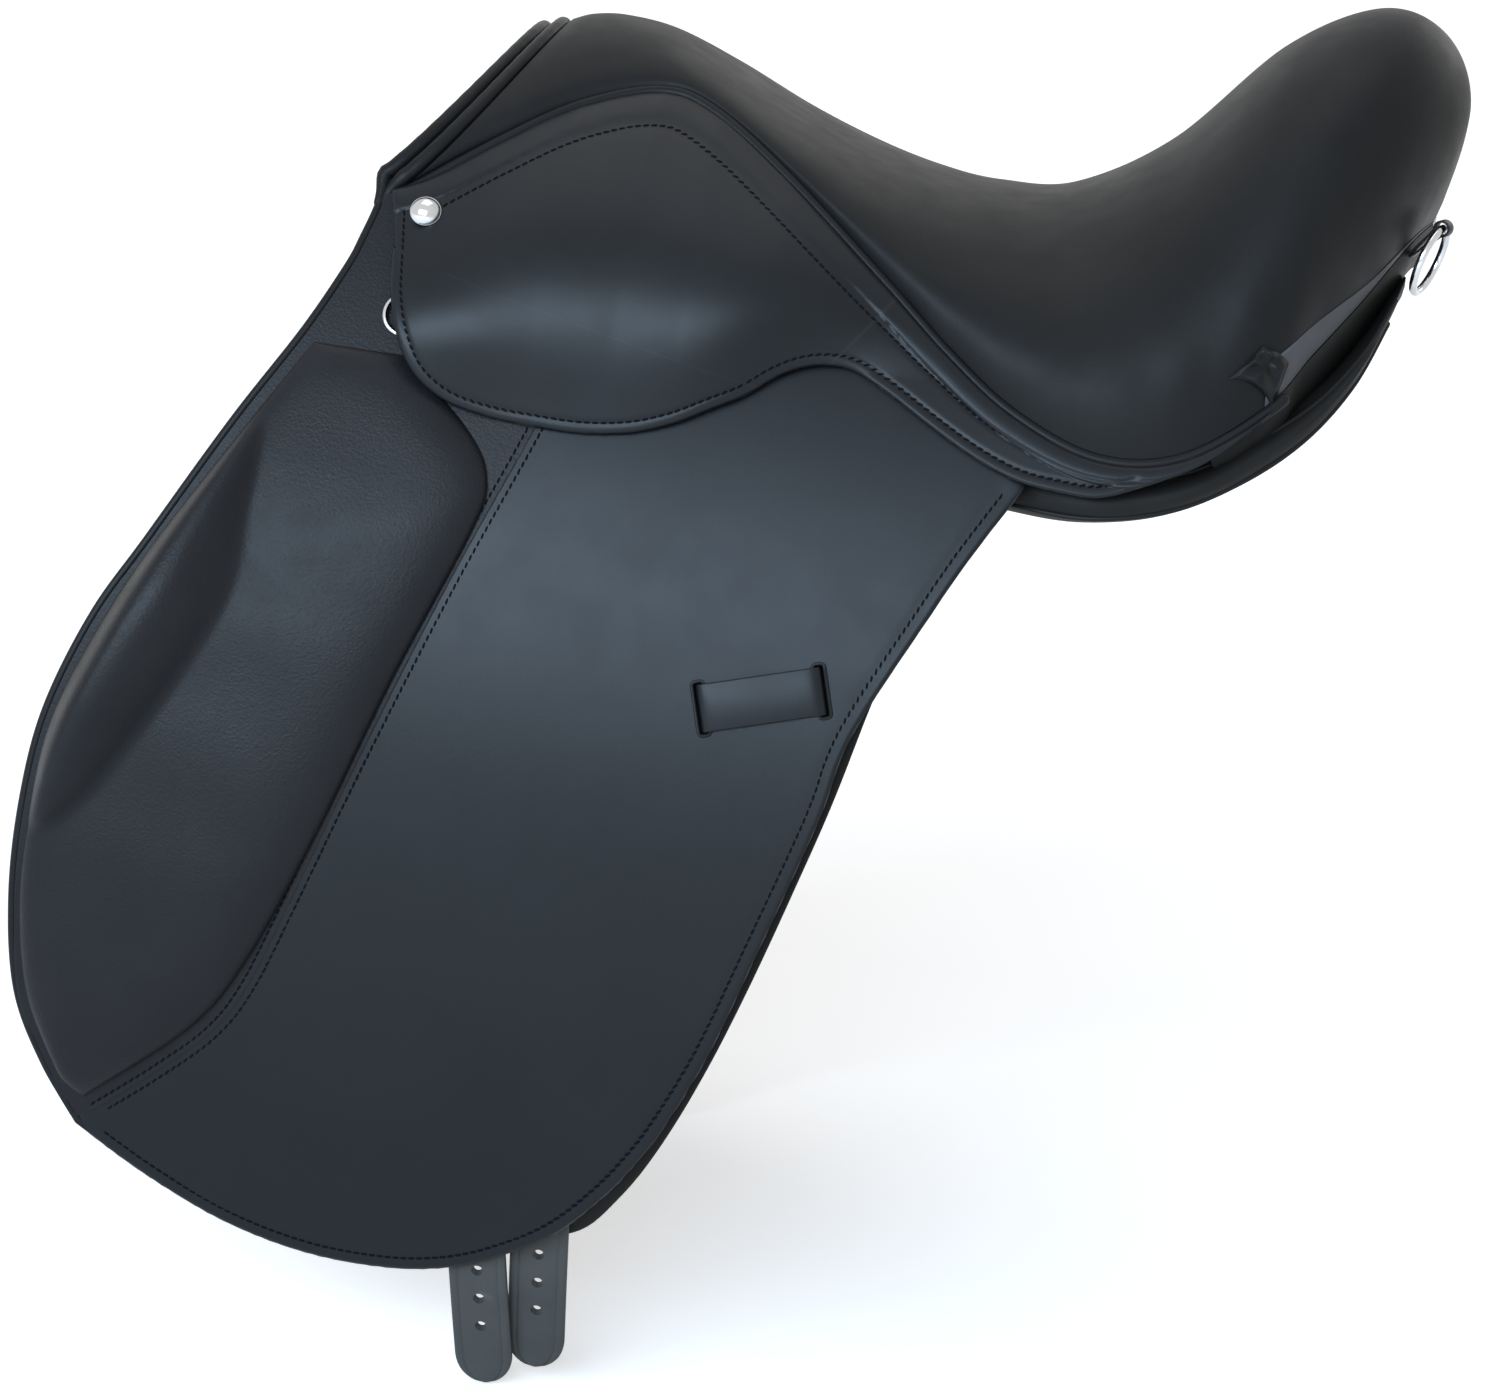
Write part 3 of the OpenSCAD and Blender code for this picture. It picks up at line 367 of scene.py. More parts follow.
def lathe(profile, around=56):
    """Solid of revolution about z; the profile runs from the middle of the top to the middle of the base."""
    q = circle(around)
    profile = np.asarray(profile, float)
    rings = np.stack([profile[:, :1] * np.cos(q), profile[:, :1] * np.sin(q),
                      np.repeat(profile[:, 1:], around, 1)], -1)
    return loft(rings)


def spaced(length, step, rim=(0, 0.35, 0.9, 1.7, 3.0)):
    """Shares of a length, spaced by step, with closer lines at both ends."""
    rim = np.array(rim) / length
    count = max(2, int(round(length / step)))
    return np.concatenate([rim[:-1], np.linspace(rim[-1], 1 - rim[-1], count), 1 - rim[-2::-1]])


def patch(top, low, front, rear, step):
    """Grid of flat places inside four edges; top and low run to the rear, front and rear run down."""
    u = spaced(run_length(top)[-1], step)
    v = spaced(run_length(front)[-1], step)
    t, b = read_path(top, u)[None], read_path(low, u)[None]
    l, r = read_path(front, v)[:, None], read_path(rear, v)[:, None]
    u, v = u[None, :, None], v[:, None, None]
    corners = ((1 - u) * (1 - v) * front[0] + u * (1 - v) * rear[0]
               + (1 - u) * v * front[-1] + u * v * rear[-1])
    return (1 - v) * t + v * b + (1 - u) * l + u * r - corners


def edge_distance(places, outline):
    """Distance of places from the nearest point of an outline."""
    outline = even(outline, 0.5)
    flat = places.reshape(-1, 2)
    best = np.full(len(flat), np.inf)
    for start in range(0, len(outline), 100):
        gaps = flat[:, None] - outline[None, start:start + 100]
        best = np.minimum(best, np.sqrt((gaps ** 2).sum(-1)).min(1))
    return best.reshape(places.shape[:-1])


def rounding(distance, radius):
    """How far a rounded edge falls away at a distance from it."""
    d = np.clip(radius - distance, 0, radius)
    return radius - np.sqrt(np.maximum(radius ** 2 - d ** 2, 0))


def leather_sheet(places, outline, inner, outer, edge=1.5, surface=on_drape, relief=0):
    """Sheet of leather with rounded edges, between two offsets from the drape."""
    fall = rounding(edge_distance(places, outline), edge)
    return shell(surface(places, outer - fall + relief), surface(places, inner + 0.6 * fall))


STITCH_PITCH, STITCH_LEN, STITCH_D, STITCH_SLANT, STITCH_SIDES = 3.4, 2.7, 1.0, 9, 6
STITCH_STATIONS = ((-0.5, 0.35), (-0.38, 0.8), (0, 1), (0.38, 0.8), (0.5, 0.35))


def stitches(path, out):
    """Row of sewn stitches along a path on a surface with directions out."""
    count = int(run_length(path)[-1] // STITCH_PITCH)
    shares = (np.arange(count) + 0.5) / count
    places, out, ahead = (read_path(values, shares) for values in (path, out, tangents(path)))
    ahead = unit(ahead - out * (ahead * out).sum(1)[:, None])
    side = np.cross(out, ahead)
    c, s = turn_pair(STITCH_SLANT)
    axes = np.stack([ahead * c + side * s, side * c - ahead * s, out], 1)
    q = circle(STITCH_SIDES)
    stitch = np.array([(x * STITCH_LEN, r * math.cos(a) * STITCH_D / 2, r * math.sin(a) * STITCH_D / 2)
                       for x, r in STITCH_STATIONS for a in q])
    first = list(range(STITCH_SIDES))
    last = [len(stitch) - STITCH_SIDES + k for k in first]
    faces = ring_faces(len(STITCH_STATIONS), STITCH_SIDES) + [first[::-1], last]
    every = [[k + n * len(stitch) for k in face] for n in range(count) for face in faces]
    return (places[:, None] + stitch @ axes).reshape(-1, 3), every


def sewn_row(flat, off, surface=on_drape):
    """Stitches along a flat path, on a surface at an offset from the drape."""
    flat = even(flat, 1.0)
    dx, dz = np.array([0.5, 0]), np.array([0, 0.5])
    along = surface(flat + dx, off) - surface(flat - dx, off)
    up = surface(flat + dz, off) - surface(flat - dz, off)
    return stitches(surface(flat, off + 0.1), unit(np.cross(along, up)))


# Materials

def feed(tree, socket, value):
    """Sets a socket, or links it to another node's output."""
    if isinstance(value, bpy.types.NodeSocket):
        tree.links.new(value, socket)
    else:
        socket.default_value = value


def node(tree, kind, inputs=None, **settings):
    made = tree.nodes.new(kind)
    for key, value in settings.items():
        setattr(made, key, value)
    for key, value in (inputs or {}).items():
        feed(tree, made.inputs[key], value)
    return made


def new_material(name):
    material = bpy.data.materials.new(name)
    material.use_nodes = True
    tree = material.node_tree
    return material, tree, node(tree, "ShaderNodeTexCoord").outputs["Object"]


def finished(material, inputs):
    """Feeds the sockets of a material's shader."""
    tree = material.node_tree
    for key, value in inputs.items():
        feed(tree, tree.nodes["Principled BSDF"].inputs[key], value)
    return material


def noise(tree, where, scale, detail, rough, distortion=0.0):
    return node(tree, "ShaderNodeTexNoise", {"Vector": where, "Scale": scale, "Detail": detail,
                                             "Roughness": rough, "Distortion": distortion}).outputs["Fac"]


def bands(tree, where, scale, distortion, direction, detail=2.0):
    return node(tree, "ShaderNodeTexWave", {"Vector": where, "Scale": scale, "Distortion": distortion,
                                            "Detail": detail}, bands_direction=direction).outputs["Fac"]


def stretched(tree, where, scale):
    return node(tree, "ShaderNodeMapping", {"Vector": where, "Scale": scale}).outputs["Vector"]


def combined(tree, a, b, operation="MULTIPLY"):
    return node(tree, "ShaderNodeMath", {0: a, 1: b}, operation=operation).outputs[0]


def fitted(tree, value, low, high, to_low, to_high):
    return node(tree, "ShaderNodeMapRange", {"Value": value, "From Min": low, "From Max": high,
                                             "To Min": to_low, "To Max": to_high}).outputs["Result"]


def mixed(tree, share, a, b):
    a, b = ((*tone, 1) if isinstance(tone, tuple) else tone for tone in (a, b))
    return node(tree, "ShaderNodeMix", {0: share, 6: a, 7: b}, data_type="RGBA").outputs[2]


def bump(tree, height, depth, strength, below=None):
    inputs = {"Height": height, "Distance": depth, "Strength": strength}
    if below is not None:
        inputs["Normal"] = below
    return node(tree, "ShaderNodeBump", inputs).outputs["Normal"]


def leather(name, dark, light, worn, cell, depth, rough, gloss, waves, spread):
    """Leather: mottled dye, grain cells of a size in mm, soft waves, and wear on raised edges."""
    material, tree, where = new_material(name)
    cells = node(tree, "ShaderNodeTexVoronoi", {"Vector": where, "Scale": 1 / (cell * MM), "Randomness": 1.0},
                 feature="SMOOTH_F1").outputs["Distance"]
    grain = combined(tree, cells, noise(tree, where, 1.8 / (cell * MM), 3, 0.6))
    mottle = noise(tree, where, 14, 5, 0.62, 0.4)
    cloud = noise(tree, where, 55, 4, 0.55)
    soft = bump(tree, noise(tree, where, 42, 2, 0.45, 0.5), 0.0012, waves)
    dye = mixed(tree, fitted(tree, mottle, 0.32, 0.7, 0, 1), dark, light)
    raised = node(tree, "ShaderNodeNewGeometry").outputs["Pointiness"]
    return finished(material, {
        "Base Color": mixed(tree, fitted(tree, raised, 0.53, 0.62, 0, 0.55), dye, worn),
        "Roughness": fitted(tree, cloud, 0.3, 0.7, rough - spread / 2, rough + spread / 2),
        "Specular IOR Level": gloss, "Normal": bump(tree, grain, depth * MM, 0.8, soft)})


def thread(name, colour):
    material, tree, where = new_material(name)
    twist = bands(tree, where, 900.0, 3.0, "DIAGONAL")
    paler = tuple(min(1, c * 1.9) for c in colour)
    return finished(material, {"Base Color": mixed(tree, twist, colour, paler), "Roughness": 0.8,
                               "Specular IOR Level": 0.07, "Normal": bump(tree, twist, 0.0002, 0.7)})


def metal(name, colour, rough, scratch):
    material, tree, where = new_material(name)
    lines = noise(tree, stretched(tree, where, (90, 900, 160)), 4, 4, 0.6)
    stain = noise(tree, where, 120, 4, 0.6)
    duller = tuple(c * 0.82 for c in colour)
    return finished(material, {
        "Base Color": mixed(tree, fitted(tree, stain, 0.4, 0.75, 0, 1), colour, duller), "Metallic": 1.0,
        "Roughness": fitted(tree, lines, 0.3, 0.7, rough * 0.7, rough * 1.5),
        "Normal": bump(tree, lines, 0.00005, scratch)})


def wood(name):
    material, tree, where = new_material(name)
    stretch = stretched(tree, where, (14, 90, 90))
    fibre = noise(tree, stretch, 6, 5, 0.65)
    tone = mixed(tree, bands(tree, stretch, 0.9, 5.0, "Z", 3.0), (0.30, 0.17, 0.075), (0.52, 0.34, 0.17))
    return finished(material, {
        "Base Color": mixed(tree, fitted(tree, fibre, 0.35, 0.75, 0, 0.5), tone, (0.2, 0.1, 0.04)),
        "Roughness": fitted(tree, fibre, 0.3, 0.7, 0.42, 0.62), "Normal": bump(tree, fibre, 0.0003, 0.4)})


def webbing(name, colour, pitch):
    material, tree, where = new_material(name)
    scale = 1 / (pitch * MM * 2 * math.pi)
    warp, weft = (bands(tree, where, scale, 0.6, direction) for direction in "XZ")
    weave = combined(tree, warp, weft)
    fuzz = noise(tree, where, 400, 4, 0.7)
    darker = tuple(c * 0.55 for c in colour)
    tone = mixed(tree, weave, darker, colour)
    return finished(material, {
        "Base Color": mixed(tree, fitted(tree, fuzz, 0.35, 0.7, 0, 0.4), tone, darker), "Roughness": 0.85,
        "Specular IOR Level": 0.2, "Normal": bump(tree, weave, 0.0004, 0.8)})


def foam(name):
    material, tree, where = new_material(name)
    cells = node(tree, "ShaderNodeTexVoronoi", {"Vector": where, "Scale": 700.0}).outputs["Distance"]
    stain = fitted(tree, noise(tree, where, 22, 4, 0.6), 0.35, 0.7, 0, 1)
    tone = mixed(tree, stain, (0.62, 0.52, 0.30), (0.50, 0.38, 0.19))
    return finished(material, {
        "Base Color": mixed(tree, fitted(tree, cells, 0.1, 0.6, 0, 0.4), tone, (0.3, 0.22, 0.1)),
        "Roughness": 0.9, "Specular IOR Level": 0.15, "Normal": bump(tree, cells, 0.0006, 0.7)})


# Each leather: its dye, dark and light, and the dye of worn edges; size and depth of its grain in mm;
# roughness, gloss, strength of its waves, and spread of its roughness
WORN, WORN_GREY, WORN_STRAP = (0.030, 0.029, 0.029), (0.11, 0.11, 0.11), (0.11, 0.10, 0.09)
CALF = leather("smooth_leather", (0.0068, 0.0082, 0.0098), (0.0085, 0.0102, 0.0122), WORN,
               0.5, 0.05, 0.36, 0.18, 0.03, 0.05)
SKIRT = leather("skirt_leather", (0.0072, 0.0084, 0.0098), (0.0090, 0.0105, 0.0122), WORN,
                0.5, 0.05, 0.36, 0.18, 0.03, 0.05)
SEAT = leather("seat_leather", (0.0095, 0.0094, 0.0095), (0.0130, 0.0128, 0.0128), WORN,
               0.75, 0.09, 0.47, 0.10, 0.10, 0.08)
GRAINED = leather("grained_leather", (0.0090, 0.0091, 0.0104), (0.0125, 0.0125, 0.0140), WORN,
                  1.15, 0.26, 0.42, 0.15, 0.06, 0.08)
ROLLED = leather("rolled_leather", (0.0065, 0.0068, 0.0072), (0.0095, 0.0096, 0.0100), WORN,
                 0.7, 0.09, 0.42, 0.13, 0.1, 0.08)
FACING = leather("facing_leather", (0.066, 0.066, 0.069), (0.090, 0.090, 0.094), WORN_GREY,
                 0.6, 0.08, 0.52, 0.20, 0.06, 0.08)
PANEL = leather("panel_leather", (0.0105, 0.0102, 0.0096), (0.0155, 0.0148, 0.0138), WORN,
                0.8, 0.12, 0.52, 0.12, 0.12, 0.1)
SWEAT = leather("sweat_leather", (0.0110, 0.0106, 0.0102), (0.0160, 0.0152, 0.0144), WORN,
                0.7, 0.10, 0.52, 0.12, 0.1, 0.1)
STRAP = leather("strap_leather", (0.046, 0.047, 0.045), (0.066, 0.067, 0.063), WORN_STRAP,
                0.6, 0.08, 0.50, 0.20, 0.06, 0.1)
THREAD = thread("waxed_thread", (0.0032, 0.0034, 0.0046))
CHROME = metal("chrome", (0.60, 0.61, 0.62), 0.14, 0.12)
STEEL = metal("steel", (0.42, 0.43, 0.45), 0.34, 0.3)
WOOD = wood("laminated_wood")
WEBBING = webbing("linen_webbing", (0.66, 0.61, 0.48), 1.4)
FOAM = foam("seat_foam_cells")


# Making pieces

def make(name, form, material=None, mirror=False):
    """One object from points in millimetres and faces."""
    points, faces = form
    points = np.array(points, float) * MM
    if mirror:
        points[:, 1] *= -1
    mesh = bpy.data.meshes.new(name)
    mesh.from_pydata(points.tolist(), [], faces)
    if material:
        mesh.materials.append(material)
    shaped = bmesh.new()
    shaped.from_mesh(mesh)
    bmesh.ops.recalc_face_normals(shaped, faces=shaped.faces)
    shaped.to_mesh(mesh)
    shaped.free()
    mesh.polygons.foreach_set("use_smooth", np.ones(len(mesh.polygons), bool))
    mesh.set_sharp_from_angle(angle=SMOOTH_ANGLE)
    return added(name, mesh)


def settle(piece, body, nodes=(), bend=None):
    """Ties a piece to its body, or with a bend given only bakes its place into its mesh, and hides the solids
    it replaces.
    """
    if bend:
        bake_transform(piece)
    else:
        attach(piece, body)
    if nodes:
        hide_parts(*nodes)


def one(name, form, material, body="saddle", nodes=()):
    settle(make(name, form, material), body, nodes)


def both_sides(form):
    """A form and its mirror image, as one."""
    points, faces = form
    return joined(form, (points * [1, -1, 1], faces))


def pair(name, form, material, body, nodes=(), bend=None):
    """The near piece and its mirror image; SIDE in a name becomes left or right."""
    for side in ("left", "right"):
        def sided(text):
            return text.replace("SIDE", side)
        piece = make(f"{name}_{side}", form, material, side == "right")
        settle(piece, sided(body), [sided(n) for n in nodes],
               bend and (sided(bend[0]), *bend[1:]))


def cut_out(name, form, cutters):
    """A form with holes cut by other closed forms."""
    body = make(name, form)
    tool = make(name + "_cutter", joined(*cutters))
    cut = body.modifiers.new("cut", "BOOLEAN")
    cut.object, cut.operation, cut.solver = tool, "DIFFERENCE", "EXACT"
    bpy.context.view_layer.update()
    result = body.evaluated_get(bpy.context.evaluated_depsgraph_get()).to_mesh()
    points = np.array([v.co for v in result.vertices]) / MM
    faces = [list(p.vertices) for p in result.polygons]
    for thing in (body, tool):
        mesh = thing.data
        bpy.data.objects.remove(thing)
        bpy.data.meshes.remove(mesh)
    return points, faces


place_camera()


# Seat: cover over foam, rolled edges at the pommel, strip and tabs at the cantle

COVER_T, FOAM_T = 3, 16
SEAT_END = SEAM_LAST - 0.1
FOAM_FROM, FOAM_TO = 0.3, SEAM_LAST - 1.5


def across(count, share=1):
    """Angles across the seat, closer toward its edges."""
    return np.radians(90 * np.sin(np.radians(np.linspace(-90, 90, count) * share)))


def seat_foam():
    t = np.linspace(FOAM_FROM, FOAM_TO, 120)[:, None]
    a = across(97)[None]
    top = COVER_T + SEWN_GAP
    return shell(seat_point(t, a, top), seat_point(t, a, top + FOAM_T))


def closed_behind(rows, ahead):
    """Rows of the seat carried on down to its lower edge, so that its rear end is closed."""
    last = rows[-1]
    foot = last * [0, 1, 0] + [last[0, 0], 0, last[0, 2]]
    share = np.linspace(0, 1, 8)[1:, None, None]
    return np.concatenate([rows, last + (foot - last) * share - [ahead, 0, 0]])


HOLLOW, GATHER = 0.3, 0.35


def seat_cover():
    t = np.linspace(0, SEAT_END, 190)[:, None]
    a = across(111)[None]
    # Soft hollows where the leather is drawn over the foam, and gathers beside the tabs
    drawn = HOLLOW * np.sin(2.1 * t + 1.3 * np.sin(a * 2)) * bell(t - 6, 3.5) * np.cos(a) ** 2
    gathers = GATHER * np.sin(9 * t) * bell(np.abs(a) - 1.32, 0.16) * bell(t - 10.5, 1.2)
    return shell(closed_behind(seat_point(t, a, -drawn - gathers), 0),
                 closed_behind(seat_point(t, a, COVER_T), COVER_T))


WELT_D, WELT_SWELL, WELT_FROM, WELT_TO = 4.4, 0.55, 0.05, 11.2
BEAD_D, BEAD_STEP, BEAD_REACH, BINDING_D = 7, 3, 84, 4
BEAD_TAPER, BEAD_FOOT = 14, np.array([(-268.5, 94), (-269, 90)])
BEAD_AHEAD = BEAD_D * 1.5 + SLIDE_GAP + 5 * SEWN_GAP


def welt():
    t = np.linspace(WELT_FROM, WELT_TO, 420)
    path = on_drape(below_seam(t, WELT_D / 2 + 1.5 * SEWN_GAP), SKIRT_OUT - SLIDE_GAP - WELT_D / 2)
    return tube(even(path, 1.6), WELT_D / 2 + WELT_SWELL)


def pommel_bead(ahead, depth):
    """Rolled bead over the pommel, whose thinner ends run down to the flaps' bindings."""
    a = np.radians(np.linspace(-BEAD_REACH, BEAD_REACH, 260))
    path = seat_point(np.zeros_like(a), a, depth) - [ahead, 0, 0]
    foot = on_drape(BEAD_FOOT - [ahead / 3, 0], FLAP_OUT / 2)
    path = smooth(np.concatenate([foot[::-1], path[2:-2:6], foot * [1, -1, 1]]), step=1.8)
    ripple = 1 + 0.015 * np.sin(np.arange(len(path)) * 1.1)
    along = run_length(path)
    taper = np.clip(np.minimum(along, along[-1] - along) / BEAD_TAPER, 0, 1)
    return tube(path, (BINDING_D + (BEAD_D - BINDING_D) * taper) / 2 * ripple, 18)


FACING_DEEP, FACING_T, FACING_TUCK, FACING_HOLLOW, FACING_FROM = 19.2, 2, 5.5, 0.8, 10.3
HIDE_BEFORE, HIDE_RUN, HIDE_IN = 11.4, 0.6, 7
BAND_THIN, BAND_FULL, BAND_SUNK = 0.25, 0.85, 0.4
BAND_EDGE = np.array([(10.95, -85.2), (11.6, -85.6), (12.4, -86.7), (13.2, -88.0), (14, -89.1),
                      (SEAT_END, -89.5)])


def seam_frame(t):
    """Points of the seat's seam, and the directions down and inward from it."""
    def on_seam(s):
        p = curve(SEAM, s)
        return np.stack([p[:, 0], -seam_y(s), p[:, 1]], 1)
    run = unit(on_seam(np.minimum(t + SEAM_STEP, SEAM_LAST)) - on_seam(t - SEAM_STEP))
    fall = unit(run * run[:, 2:] - [0, 0, 1])
    inward = np.cross(run, fall)
    inward[:, 2] += inward[:, 0] * run[:, 2] / run[:, 0]
    return on_seam(t), fall, inward


def mirrored_on(near):
    """A strip of points that runs on round the far side."""
    return np.concatenate([near, near[::-1] * [1, -1, 1]])


def cantle_facing():
    """Leather below the seat's rear edge, drawn in to the panels."""
    t = np.linspace(FACING_FROM, SEAT_END, 80)
    start, fall, inward = seam_frame(t)
    start = start + inward * (HIDE_IN * np.clip((HIDE_BEFORE - t) / HIDE_RUN, 0, 1))[:, None]
    share = np.linspace(1, 0, 13)
    down = SLIDE_GAP + (FACING_DEEP - SLIDE_GAP) * share

    def strip(deep):
        tucked = deep + FACING_TUCK * share ** 1.5 - FACING_HOLLOW * np.sin(share * math.pi)
        return mirrored_on(start[:, None] + fall[:, None] * down[None, :, None]
                           + inward[:, None] * tucked[None, :, None])
    return shell(strip(0), strip(FACING_T))


def cantle_band():
    """Flat band sewn along the lower edge of the cantle, from tab to tab."""
    t = np.linspace(BAND_EDGE[0, 0], SEAT_END, 90)[:, None]
    share = np.array([0, 0.04, 0.12, 0.3, 0.5, 0.7, 0.88, 0.96, 1])[None]
    top = np.interp(t, BAND_EDGE[:, 0], BAND_EDGE[:, 1])
    angle = np.radians(-90 + (top + 90) * share)
    thick = BAND_THIN + BAND_FULL * np.minimum(np.minimum(share, 1 - share) * 9, 1) ** 0.5
    return shell(mirrored_on(seat_point(t, angle, -thick)), mirrored_on(seat_point(t, angle, BAND_SUNK)))


TAB = {"left": (10.5, -83.4), "top": (10.86, -82.2), "right": (11.32, -87.6), "low": (11.1, -90)}
TAB_PIT, PIT_R, TAB_DROP, TAB_THIN, TAB_RISE, TAB_SUNK = (0.62, 0.4), 0.2, 4.5, 0.5, 2.1, 0.3


def cantle_tab():
    """Pointed piece of leather, gathered into a pit under the seat's corner."""
    u, v = np.meshgrid(np.linspace(0, 1, 33), np.linspace(0, 1, 33), indexing="ij")
    left, top, right, low = (np.array(TAB[name]) for name in ("left", "top", "right", "low"))
    u3, v3 = u[..., None], v[..., None]
    upper, lower = left + (top - left) * u3, low + (right - low) * u3
    t, angle = np.moveaxis(upper + (lower - upper) * v3, -1, 0)
    away, around = np.hypot(u - TAB_PIT[0], v - TAB_PIT[1]), np.arctan2(v - TAB_PIT[1], u - TAB_PIT[0])
    rim = np.clip(np.minimum(np.minimum(u, 1 - u), np.minimum(v, 1 - v)) * 9, 0.06, 1) ** 0.6
    folds = 1 + 0.45 * np.cos(4 * around + 0.9) * np.minimum(away * 4, 1)
    lift = (TAB_THIN + TAB_RISE * (1 - bell(away, PIT_R))) * folds * rim
    drop = np.clip(v * 1.25 - 0.25, 0, 1)[..., None] * (1 - u3) * [0, 0, -TAB_DROP]
    angle = np.radians(angle)
    return shell(seat_point(t, angle, -lift - 0.9) + drop, seat_point(t, angle, TAB_SUNK) + drop)


LINING_HALF, ARCH_HALF, ARCH_REACH = 34.7, 29, 66
COVER_REACH, COVER_FOOT, COVER_INSET = 83, np.array([-262, 31]), 2.5
FACING_FULL, COVER_FULL = 1.2, 1.5
TUCK = 16.0
# Place along the saddle, inset from the drape, lowest and highest point
PANEL_ROWS = np.array([
    (-252, TUCK + 8, 14, 38), (-243, TUCK + 1, 6, 42), (-222, TUCK, 2, 43), (-176, TUCK, 0, 43),
    (-125, TUCK, 0, 43), (-82, TUCK, 0, 42), (-50, TUCK, 0, 40), (-22, TUCK, 0, 36), (4, TUCK - 5, 0, 33),
    (40, 2, 1, 31), (74, 4, 9, 36), (103, 9, 23, 53), (126, 14, 42, 70), (143, 19, 65, 90),
    (154, 28, 90, 108), (158, 36, 100, 114)], float)
VAULT_RISE, ARCH_RISE, ARCH_X, ARCH_RUN = 14, 58, -243, 90


def vault_z(row, y):
    rise = VAULT_RISE + ARCH_RISE * bell(row[..., 0] - ARCH_X, ARCH_RUN)
    return (row[..., 2] + row[..., 3]) / 2 + rise * (1 - (y / LINING_HALF) ** 2)


def gullet_lining():
    rows = curve(PANEL_ROWS, np.linspace(1, len(PANEL_ROWS) - 2, 120))[:, None]
    y = LINING_HALF * np.sin(np.radians(np.linspace(-90, 90, 41)))[None]

    def vault(up):
        wide = y * (1 + up / LINING_HALF)
        return np.stack(np.broadcast_arrays(rows[..., 0], wide, vault_z(rows, y) + up), -1)
    return shell(vault(1.0), vault(-1.0))


def pommel_rim(a):
    """Upper edge of the leather that closes the arch."""
    return seat_point(np.zeros_like(a), a, BEAD_D + BEAD_STEP + 3 * SEWN_GAP) - [BEAD_AHEAD, 0, 0]


def arch_edge(y):
    """Lower edge of that leather, along the front of the lining."""
    front = PANEL_ROWS[1]
    return np.stack([np.full_like(y, front[0] - SEWN_GAP), y, vault_z(front, y)], -1)


def pommel_facing():
    a = np.radians(np.linspace(-ARCH_REACH, ARCH_REACH, 81))
    rim = pommel_rim(a)
    inner = arch_edge(ARCH_HALF * np.sin(a) / math.sin(math.radians(ARCH_REACH)))
    v = np.linspace(0, 1, 21)[None, :, None]
    sheet = rim[:, None] + (inner - rim)[:, None] * v
    full = FACING_FULL * np.sin(v * math.pi)
    return shell(sheet - (FACING_T + full) * [1, 0, 0], sheet)


def point_cover():
    """Leather that closes the arch beside its facing, over a point of the tree."""
    rim = pommel_rim(-np.radians(np.linspace(ARCH_REACH, COVER_REACH, 31)))
    corner = arch_edge(np.array(-float(ARCH_HALF)))
    u, v = np.linspace(0, 1, 31)[:, None, None], np.linspace(0, 1, 25)[None, :, None]
    inner = rim[0] + (corner - rim[0]) * v
    outer = on_drape(rim[-1, [0, 2]] + (COVER_FOOT - rim[-1, [0, 2]]) * v, -COVER_INSET)
    sheet = inner * (1 - u) + outer * u
    sheet = sheet + (rim[:, None] - sheet[:, :1]) * (1 - v)
    full = COVER_FULL * np.sin(u * math.pi) * np.sin(v * math.pi)
    return shell(sheet - (FACING_T + full) * [1, 0, 0], sheet)


one("seat_leather", seat_cover(), SEAT, nodes=["seat_cover"])
one("seat_foam_pad", seat_foam(), FOAM, nodes=["seat_foam"])
one("pommel_roll_rear", pommel_bead(BEAD_D / 2 + SLIDE_GAP + SEWN_GAP, BEAD_D / 2), ROLLED,
    nodes=["pommel_bead_rear"])
one("pommel_roll_front", pommel_bead(BEAD_AHEAD, BEAD_D / 2 + BEAD_STEP), ROLLED,
    nodes=["pommel_bead_front"])
one("pommel_front", pommel_facing(), SEAT, nodes=["pommel_facing"])
pair("point_pocket", point_cover(), SEAT, "saddle", ())
one("cantle_strip", cantle_facing(), PANEL, nodes=["cantle_facing"])
one("cantle_trim", cantle_band(), FACING)
one("channel_lining", gullet_lining(), PANEL, nodes=["gullet_lining"])
pair("welt", welt(), ROLLED, "saddle", ["seat_welt_SIDE"])
pair("tab", cantle_tab(), ROLLED, "saddle", ["cantle_tab_SIDE"])


# Skirt: a front part and a rear part above the fold, and the lobe below it, with edges that meet

SKIRT_LOW = np.array([(-266, 93), (-262, 75), (-258, 57), (-252, 42), (-243, 29), (-229, 20), (-211, 16),
                      (-193, 15), (-172, 15), (-152, 18), (-135, 24), (-120, 32), (-107, 39), (-95, 48),
                      (-85, 53), (-75, 55), (-64, 54), (-48, 47), (-29, 37), (-10, 28), (8, 22), (26, 20),
                      (43, 20), (59, 25), (85, 36), (111, 56)], float)
LOW_LAST = len(SKIRT_LOW) - 1
SKIRT_FROM, SKIRT_TAIL, LOBE_FROM, LOBE_TO, BAY_AT = 0.05, 11, 1.0, 12.4, 15.0
TAIL_AT = SKIRT_FROM + (SKIRT_TAIL - SKIRT_FROM) * 0.44
NARROW_FROM, NARROWEST = 1.6, 0.1
FOLD_ABOVE, FOLD_BELOW, FOLD_NEAR, SHORTEST_RUN = 9, 9, 0.4, 8
EDGE_ROW, EDGE_SKIP, EDGE_STOP = 4.6, 4, 62
WELT_ROW, WELT_ROW_FROM, WELT_ROW_TO, ROW_DRAWN, DRAWN_FROM, DRAWN_RUN = 14.5, 0.12, 9.9, 0.42, 6, 3.5
